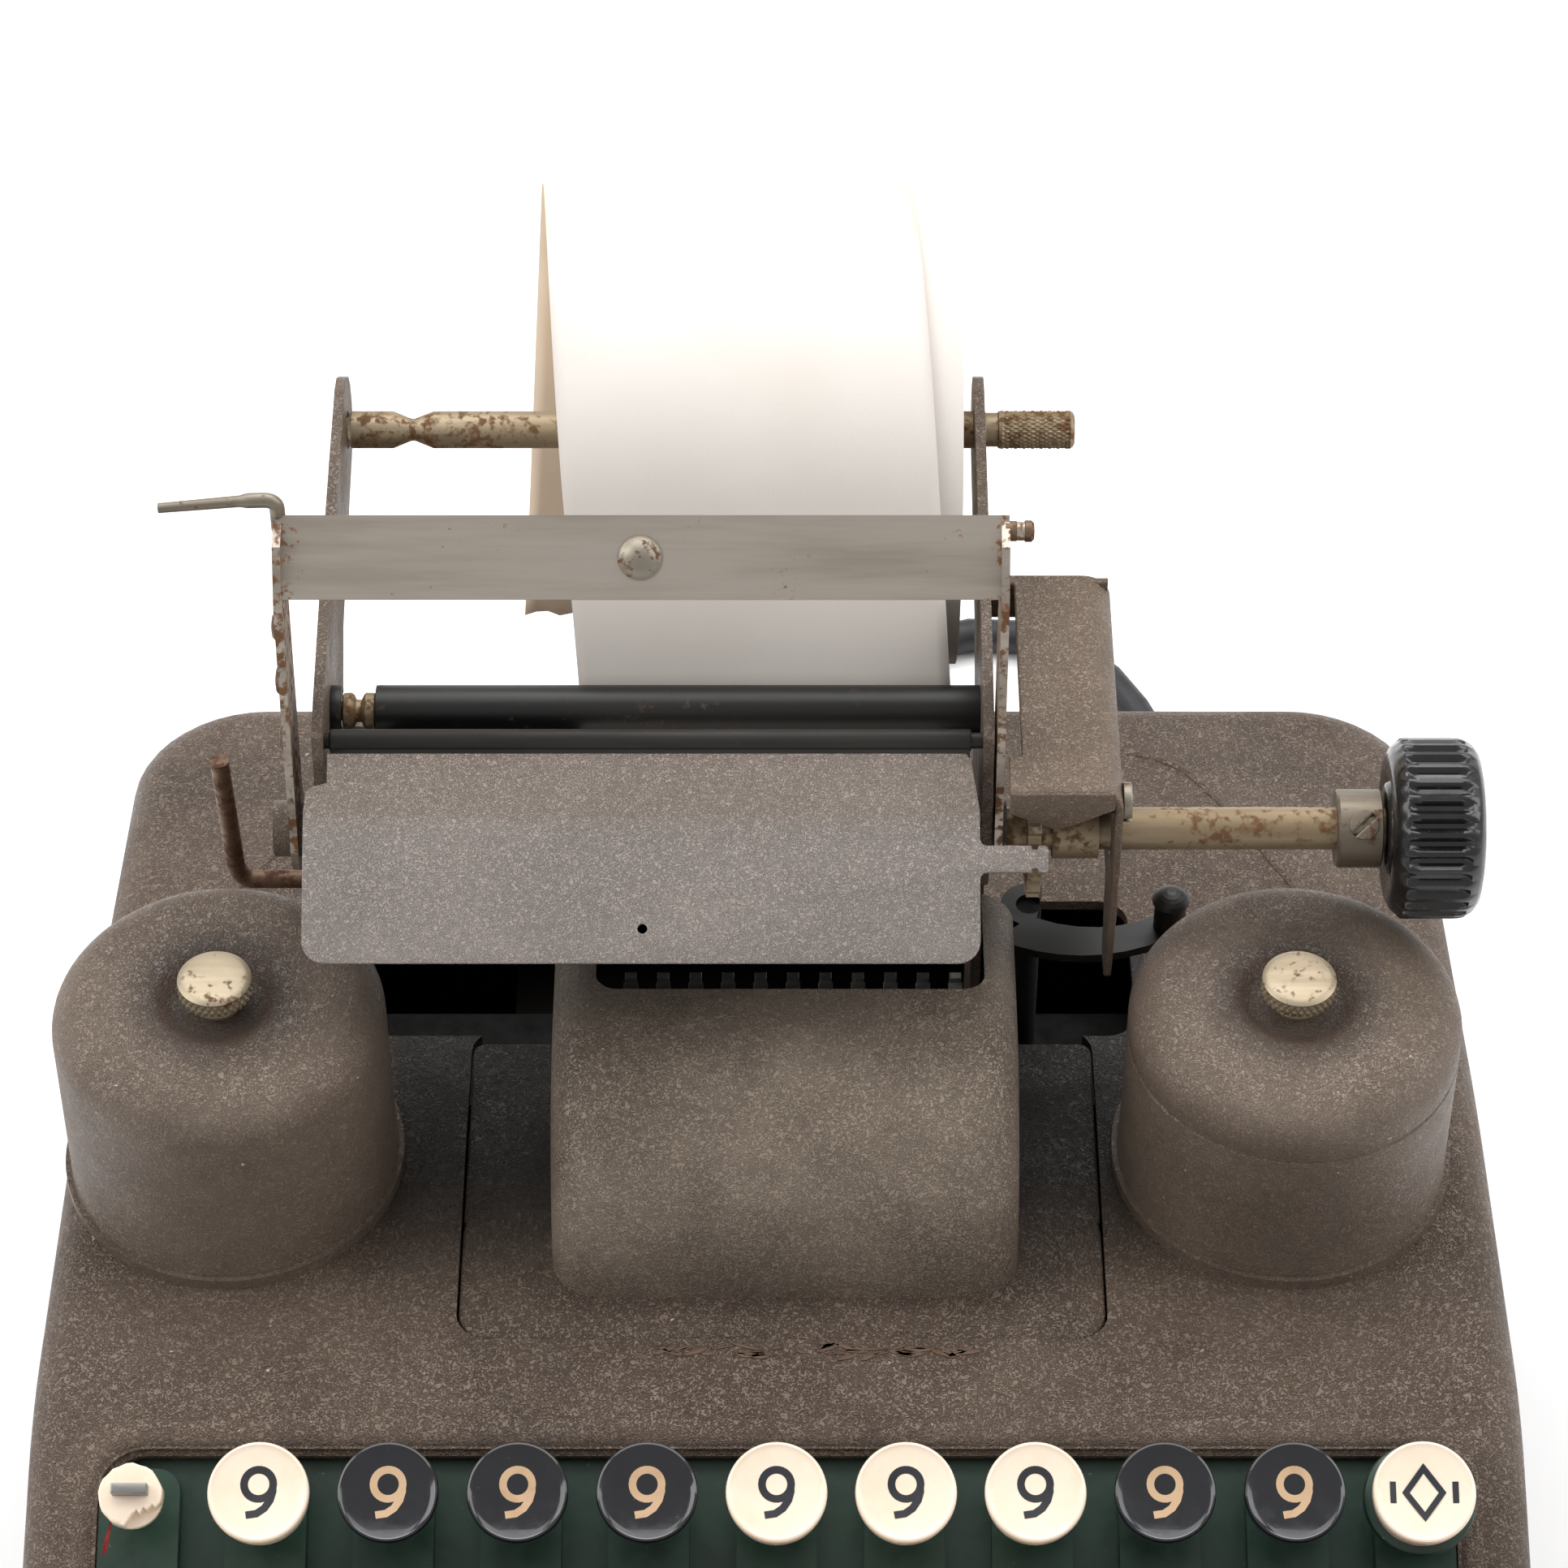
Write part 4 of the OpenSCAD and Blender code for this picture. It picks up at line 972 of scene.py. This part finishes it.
def slot_screw(r, height, where, parts):
    """A round head in two halves with a slot between them, its axis along local Z."""
    half = r * 0.16
    start = math.degrees(math.asin(half / r))
    rim = arc(0, 0, r, start, 180 - start, 14)
    for points in (rim, [(-x, -y) for x, y in rim]):
        parts.join(soft_prism(points, 0, height, 0.22, 2), where)
    wide, grime_shade = r * 0.97, half + 0.05
    parts.join(soft_prism(round_rect(-wide, -grime_shade, wide, grime_shade, 0.05, 1), 0, height * 0.45, 0.02, 1),
               where, 1)


def facing(x, y, z, way, spin=0.0):
    """A frame at a point whose local Z looks along way."""
    turn = Vector(way).to_track_quat("Z", "Y").to_matrix().to_4x4()
    return Matrix.Translation((x, y, z)) @ turn @ Matrix.Rotation(rad(spin), 4, "Z")


def knob_collar():
    profile = [(3.25, 0), (5.7, 0), (6, 0.3), (6, 6.6), (5.8, 6.85), (3.25, 6.85), (3.25, 0)]
    parts = Parts().join(turned(profile, AXIS, KNOB_X - 7.2, 64))
    way = (0, -0.62, 0.78)
    spot = AXIS + Vector(way) * 5.55
    slot_screw(2.3, 0.75, facing(KNOB_X - 3.4, spot.y, spot.z, way, 42), parts)
    parts.add("collar_ring", [dull_steel, dark_steel], "platen_unit", "steel", ("knob_collar",))


def right_housing():
    """Bent sheet cover over the ratchet: rounded outer edge, pointed front lip, screw and spring."""
    t = 1.2
    section = [(34.8, 64)] + arc(47.5, 59.5, 4.5, 90, 0, 8) + [(52, 20), (52 - t, 20)]
    section += arc(47.5, 59.5, 4.5 - t, 0, 90, 8) + [(34.8, 64 - t)]
    verts = [(x, at(d), up(h)) for d in (81, 128) for x, h in section]
    faces = grid_faces(2, len(section)) + ends(2, len(section))
    piece = add("ratchet_housing", verts, faces, housing_paint, "chassis", "casing_paint",
                ("ratchet_cover",))
    low_front = spots([(70, 10), (83.5, 10), (83.5, 20), (81, 37), (70, 37)])
    low_back = spots([(89, 10), (140, 10), (140, 44), (128, 44), (110, 35), (92, 35), (89, 20)])
    notch = round_rect(30, at(88.6), 36.8, at(126), 0.4, 2)
    cut(piece, plate(low_front, 48, 54, where=YZ), plate(low_back, 48, 54, where=YZ),
        plate(notch, up(60), up(66)),
        turned([(0, 0), (3.7, 0), (3.7, 8), (0, 8)], AXIS, 47, 28))
    smooth(piece, 35)
    bevelled(piece, 0.3, 45)
    lip = [(34.9, 63.9), (34.9, 59.6), (41.7, 56.2), (44.2, 56.9), (50.6, 60.4), (50.6, 63.9)]
    rear = [(32.7, 56), (51.5, 56), (51.5, 63.6), (32.7, 63.6)]
    xz = Matrix(((1, 0, 0, 0), (0, 0, 1, 0), (0, 1, 0, 0), (0, 0, 0, 1)))   # (x, z, y) to (x, y, z)
    parts = Parts()
    for outline, near, far in ((lip, 80.6, 81.7), (rear, 126.6, 127.8)):
        raised = [(x, up(h)) for x, h in outline]
        parts.join(plate(raised, at(near), at(far), 0.25, xz))
    parts.join(tube([(x, at(81.4), up(63.5)) for x in (34.9, 49.5)], 0.62, 12))
    parts.add("ratchet_lip", housing_paint, "chassis", "casing_paint")
    small = Parts()
    slot_screw(3.0, 1.3, facing(52, at(84.2), up(58.6), (1, 0, 0), 20), small)
    coil = [(45.6 + 0.055 * k, at(84) + 1.15 * math.cos(k * 0.7), up(58.2) + 1.15 * math.sin(k * 0.7))
            for k in range(96)]
    small.join(tube(coil, 0.24, 6), pick=2)
    small.join(tube([(44, at(84), up(58.2)), (51.4, at(84), up(58.2))], 0.7, 12), pick=2)
    small.add("housing_screw", [dull_steel, dark_steel, dark_steel], "chassis", "steel")


platen_knob()
knob_collar()
right_housing()


# ---- front flap ----
FLAP_PATH = spots([(88.6, 64.57), (78.9, 59.5), (62, 47)])


def front_flap():
    """A sheet flap cut flat, with its tab, notches, rounded corners and hole, then bent."""
    line = [Vector((0, y, z)) for y, z in FLAP_PATH]
    line = [line[0]] + bend(line, 3.2, 6)[1:-1] + [line[-1]]
    marks = [0.0]
    for a, b in zip(line, line[1:]):
        marks.append(marks[-1] + (b - a).length)
    length = marks[-1]
    left, right, tab0, tab1, inner, corner = -70.8, 30.4, 14.25, 18.35, -67.4, 3.4
    ear = [(38.0, tab0), (38.2, tab0 + 0.6), (38.9, tab0 + 0.6), (39.1, tab0), (40.2, tab0),
           (40.6, tab0 + 0.4)]
    outline = [(inner, 0.0), (right - 2.0, 0.0), (right - 1.2, 1.2), (right - 0.6, 5.0),
               (right, 9.0), (right, tab0 - 1)]
    outline += arc(right + 1, tab0 - 1, 1, 180, 90, 3) + ear
    outline += [(x, tab0 + tab1 - y) for x, y in reversed(ear)]
    outline += arc(right + 1, tab1 + 1, 1, 270, 180, 3)
    outline += arc(right - corner, length - corner, corner, 0, 90, 7)
    outline += arc(left + corner, length - corner, corner, 90, 180, 7)
    outline += [(left, 9.0), (left + 0.3, 6.0), (left + 1.2, 5.2), (inner, 4.6)]
    piece = add("front_flap_sheet", *soft_prism(outline, -0.9, 0, 0.22, 2), flap_paint, "flap",
                "steel", ("front_flap",))
    hole = lathe([(0, -3), (0.75, -3), (0.75, 3), (0, 3)], 20)
    cut(piece, moved(hole, placed(-20, length - 5.2, 0)))
    bm = bmesh.new()
    bm.from_mesh(piece.data)
    for mark in marks[1:-1]:
        slice_mesh(bm, (0, mark * MM, 0), (0, 1, 0))
    for v in bm.verts:
        s, off = v.co.y / MM, v.co.z / MM
        i = max(0, min(len(line) - 2, sum(1 for m in marks[1:-1] if s > m + 1e-6)))
        along = (line[i + 1] - line[i]).normalized()
        tilt = 0.5 * (along + (line[i] - line[i - 1]).normalized()) if i and \
            abs(s - marks[i]) < 1e-3 else along
        tilt.normalize()
        spot = line[i] + along * (s - marks[i]) + Vector((0, tilt.z, -tilt.y)) * off
        v.co.y, v.co.z = spot.y * MM, spot.z * MM
    bmesh.ops.recalc_face_normals(bm, faces=bm.faces)
    bm.to_mesh(piece.data)
    bm.free()
    smooth(piece, 38)
    tip, way = line[0], (line[0] - line[1]).normalized()
    normal = Vector((0, -way.z, way.y))
    tube_wall = [(1.28, 0), (1.6, 0.1), (1.75, 0.3), (1.75, 96.1), (1.6, 96.4), (1.28, 96.4),
                 (1.28, 0)]
    hinge = Parts().join(turned(tube_wall, HINGE, -67.2, 24))
    leaf = [tip + way * a - normal * b for a, b in ((-2, 0.85), (0.9, 0.85), (0.9, 0.2), (-2, 0.2))]
    hinge.join(plate([(p.y, p.z) for p in leaf], -67.0, 29.0, 0.1, YZ))
    hinge.add("flap_hinge_tube", dark_steel, "flap", "dark_steel")


# ---- guide bar, bail and rods ----
def guide_bar():
    """Black bar bent from sheet, open below, cut away at the left to bare the feed rod."""
    r, x0, x1 = 3.95, -68.0, 31.0
    notch = (-66.3, -61.1)
    parts = Parts()
    for a, b, start, steps in ((x0, notch[0], 20, 26), (notch[1], x1, 20, 26), (*notch, 225, 6)):
        shape = arc(GUIDE.y, GUIDE.z, r, start, 265, steps)
        shape += arc(GUIDE.y, GUIDE.z, r - 0.8, 265, start, steps)
        parts.join(plate(shape, a, b, 0.1, YZ))
    parts.add("guide_bar_shell", black_lacquer, "chassis", "dark_steel", ("guide_bar",))
    rings = [(1.5, -68.0), (1.5, -66.2), (2.4, -66.2), (2.75, -66.0), (2.8, -64.9), (2.5, -64.5),
             (1.75, -64.2), (1.7, -63.4), (2.5, -63.0), (2.8, -62.7), (2.75, -61.4), (2.4, -61.2),
             (2.4, 30.0), (1.5, 30.2), (1.5, 31.0), (0, 31.0)]
    add("feed_rod_turned", *turned([(0, -68.0)] + rings, GUIDE, steps=32), rusty_steel, "chassis",
        "rusty_steel", ("feed_rod",))


def bail_fittings():
    top = AXIS + Vector((0, BAIL_BACK, BAIL_R))
    x0 = BAIL_X[0]
    path = [(x0 + 0.6, top.y + 4.6, top.z + 1.5), (x0 + 0.6, top.y + 4.8, top.z + 7),
            (x0 - 3.0, top.y + 4.8, top.z + 7), (-90.6, top.y + 4.6, top.z + 5.6)]
    line = bend(path, 2.4, 6)
    n = len(line)
    radii = [1.15 * (1.0 if k < n - 3 else 0.9 - 0.12 * (k - n + 3)) for k in range(n)]
    add("bail_finger_lever", *tube(line, radii, 14), dull_steel, "bail", "nickel", ("bail_lever",))
    heads = Parts()
    arm = Vector((0, BAIL_BACK, BAIL_R)).normalized()
    for rise, r in ((37.7, 2.1), (27.9, 2.2), (17.3, 2.4)):
        profile = [(0, 0), (r, 0), (r, 0.5), (r * 0.8, 0.9), (r * 0.4, 1.05), (0, 1.1)]
        spot = AXIS + arm * rise
        heads.join(lathe(profile, 28), facing(x0 + 0.02, spot.y, spot.z, (-1, 0, 0)))
    knob = [(0, 0), (1.5, 0), (1.5, 1.6), (0.95, 2.0), (0.95, 2.5), (1.6, 2.9), (1.6, 3.8),
            (1.2, 4.2), (0, 4.3)]
    heads.join(lathe(knob, 28), facing(BAIL_X[1] - 0.6, top.y + 3, top.z + 2.5, (1, 0, 0)))
    heads.add("bail_screws", brown_steel, "bail", "rusty_steel")
    rivet = [(0, 0.4), (3.35, 0.4), (3.35, 0.75)] + arc(0, -2.3, 4.3, 46, 88, 7)
    rivet += [(0.5, 1.98), (0.4, 1.82), (0, 1.8)]
    turn = Matrix.Translation((-20, top.y, top.z)) @ Matrix.Rotation(BAIL_TILT, 4, "X")
    add("bail_rivet_head", *moved(lathe(rivet), turn), dull_steel, "bail", "nickel",
        ("bail_rivet",))


def roll_rod():
    grip = knurl(0.3, 26, 1.35)

    def rough(a, x, r):
        return grip(a, x, r) if 35.7 < x < 46.4 else 0
    profile = [(0, -69.6), (1.9, -69.6), (1.9, -67.9), (2.5, -67.8), (2.95, -67.3),
               (2.95, -60.8), (1.75, -57.9), (1.75, -57.4), (2.95, -54.4), (2.95, 32.9),
               (2.7, 33.1), (2.7, 34.9), (2.95, 35.1)]
    profile += [(3.05, 35.6 + 0.27 * k) for k in range(41)]
    profile += [(2.7, 46.9), (2.3, 47.1), (0, 47.15)]
    add("roll_rod_turned", *turned(profile, ROD, 0, 130, rough), rusty_steel, "roll", "rusty_steel",
        ("roll_rod",))


front_flap()
guide_bar()
bail_fittings()
roll_rod()


# ---- paper ----
STRIP_R = (13.45, 4.4, 38.4)          # about the platen, the guide bar and the roll
PAPER_W = 57.0
PAPER_SHIFT, PAPER_DRIFT = -1.7, -0.066   # off centre, and per mm of strip past the guide bar
PLATEN_STEPS, GUIDE_STEPS = 22, 14


def turn_of(centre, r, start, end, steps):
    return [centre + r * Vector((0, math.cos(rad(a)), math.sin(rad(a))))
            for a in (start + (end - start) * k / steps for k in range(steps + 1))]


def heading(a, b):
    return math.degrees(math.atan2(b.z - a.z, b.y - a.y))


def strip_path():
    """The strip's middle line: round the platen, under the guide bar and over the roll."""
    r1, r2, r3 = STRIP_R
    turn1 = heading(AXIS, GUIDE) + math.degrees(math.acos((r1 + r2) / (GUIDE - AXIS).length))
    turn2 = heading(GUIDE, ROD) - math.degrees(math.acos((r2 + r3) / (ROD - GUIDE).length))
    path = turn_of(AXIS, r1, 178, turn1, PLATEN_STEPS)
    path += turn_of(GUIDE, r2, turn1 + 180, turn2 + 360, GUIDE_STEPS)
    path += turn_of(ROD, r3, turn2 + 180, 0, 46)
    return path + [Vector((0, ROD.y + r3, ROD.z - k * 6.5)) for k in range(1, 13)]


def paper_strip():
    dice = random.Random(41)
    path = strip_path()
    run = [0.0]
    for a, b in zip(path, path[1:]):
        run.append(run[-1] + (b - a).length)
    past_guide = PLATEN_STEPS + GUIDE_STEPS + 1
    crest = max(range(len(path)), key=lambda k: path[k].z)
    across, waves = 28, [(dice.uniform(0.05, 0.16), dice.uniform(0, 6.3)) for _ in range(5)]
    verts = []
    for k, p in enumerate(path):
        lean = PAPER_SHIFT + PAPER_DRIFT * max(0.0, run[k] - run[past_guide])
        for i in range(across + 1):
            u = i / across
            torn = out = 0.0
            if k > crest - 12:
                out = sum(a * (1 + math.sin(0.09 * (n + 1) * run[k] + 5 * u + b))
                          for n, (a, b) in enumerate(waves))
                out *= ease(k, crest - 12, crest + 6)
            if k == len(path) - 1:
                torn = 1.1 * abs(math.sin(9 * math.pi * u)) + dice.uniform(-0.25, 0.25)
            way = (p - ROD).normalized()
            verts.append((lean + (u - 0.5) * PAPER_W, p.y + way.y * out, p.z + torn + way.z * out))
    faces = grid_faces(len(path), across + 1, closed=False)
    # faces past the crest take the copy with the painted backlit glow
    picks = [int(face[0] // (across + 1) > crest) for face in faces]
    piece = add("paper_strip_sheet", verts, faces, [paper, paper_back_glow], "chassis", "paper",
                ("paper_strip",), flat=80, picks=picks)
    thicken(piece, 0.1, 0)


def paper_roll():
    dice = random.Random(12)
    x0, x1, big = -29.0, 28.0, 37.2
    rings = [6.0 + (big - 6.0) * k / 44 for k in range(45)]
    left = [(r, x0 + dice.uniform(-0.22, 0.22)) for r in rings]
    right = [(r, x1 + dice.uniform(-0.3, 0.3)) for r in rings]
    profile = [(4.6, x0 + 0.4)] + left + right[::-1] + [(4.6, x1 - 0.4), (4.6, x0 + 0.4)]

    def uneven(a, x, r):
        return 0.12 * math.sin(2 * a + 0.7) * r / big
    body = Parts().join(turned(profile, ROD, 0, 96, uneven))
    for number, face in enumerate(body.faces):
        along = [body.verts[i][0] for i in face]
        body.picks[number] = int(max(along) - min(along) < 20)
    body.add("paper_roll_wound", [paper, paper_edge], "roll", "paper", ("paper_roll",), flat=60)
    core = [(3.1, x0 + 0.2), (4.5, x0 + 0.2), (4.5, x1 - 0.2), (3.1, x1 - 0.2), (3.1, x0 + 0.2)]
    add("roll_core", *turned(core, ROD), tan_ink, "roll", "paper")


# ---- levers beside the carriage ----
def release_lever():
    path = [(x, at(108), up(h)) for x, h in ((-66, 16), (-84.8, 16), (-86.2, 18.5), (-86.9, 43))]
    add("release_lever_wire", *tube(bend(path, 3.5, 8), 1.48, 20), brown_steel, "release",
        "rusty_steel", ("release_lever",))


# ---- CAD nodes that stay ----
def coat(node, material, edge=0.0):
    """Gives a CAD node its finish, and small rounded edges where they show."""
    piece = NODES[node]
    piece.data.materials.clear()
    piece.data.materials.append(material)
    piece.data.polygons.foreach_set("material_index", [0] * len(piece.data.polygons))
    smooth(piece, 35)
    if edge:
        bevelled(piece, edge, 50)


COATS = [("base_pan", dark_steel, 0), ("rubber_feet", rubber, 0.6), ("case_screws", plain_steel, 0),
         ("keyboard_plate", green_paint, 0.5), ("side_frames", plain_steel, 0.2),
         ("tie_rods", plain_steel, 0), ("spool_posts", cover_paint, 0.15),
         ("ribbon_spool_left", ribbon_ink, 0), ("ribbon_spool_right", ribbon_ink, 0),
         ("motor", dark_steel, 0.4), ("motor_pinion", brass, 0), ("drive_shaft", plain_steel, 0),
         ("register_shaft", plain_steel, 0), ("register_wheels", brass, 0),
         ("carriage_bed", shade_black, 0.3), ("carriage_plate_left", plate_paint, 0.35),
         ("carriage_plate_right", plate_paint, 0.35), ("platen", rubber, 0.2),
         ("platen_shaft", rusty_steel, 0.15), ("hinge_rod", dark_steel, 0),
         ("paper_bail", bail_steel, 0.35), ("ribbon_lever", black_lacquer, 0.3),
         ("motor_bar", cream, 0.8)]

paper_strip()
paper_roll()
release_lever()
for each_node, finish, rounding in COATS:
    coat(each_node, finish, rounding)
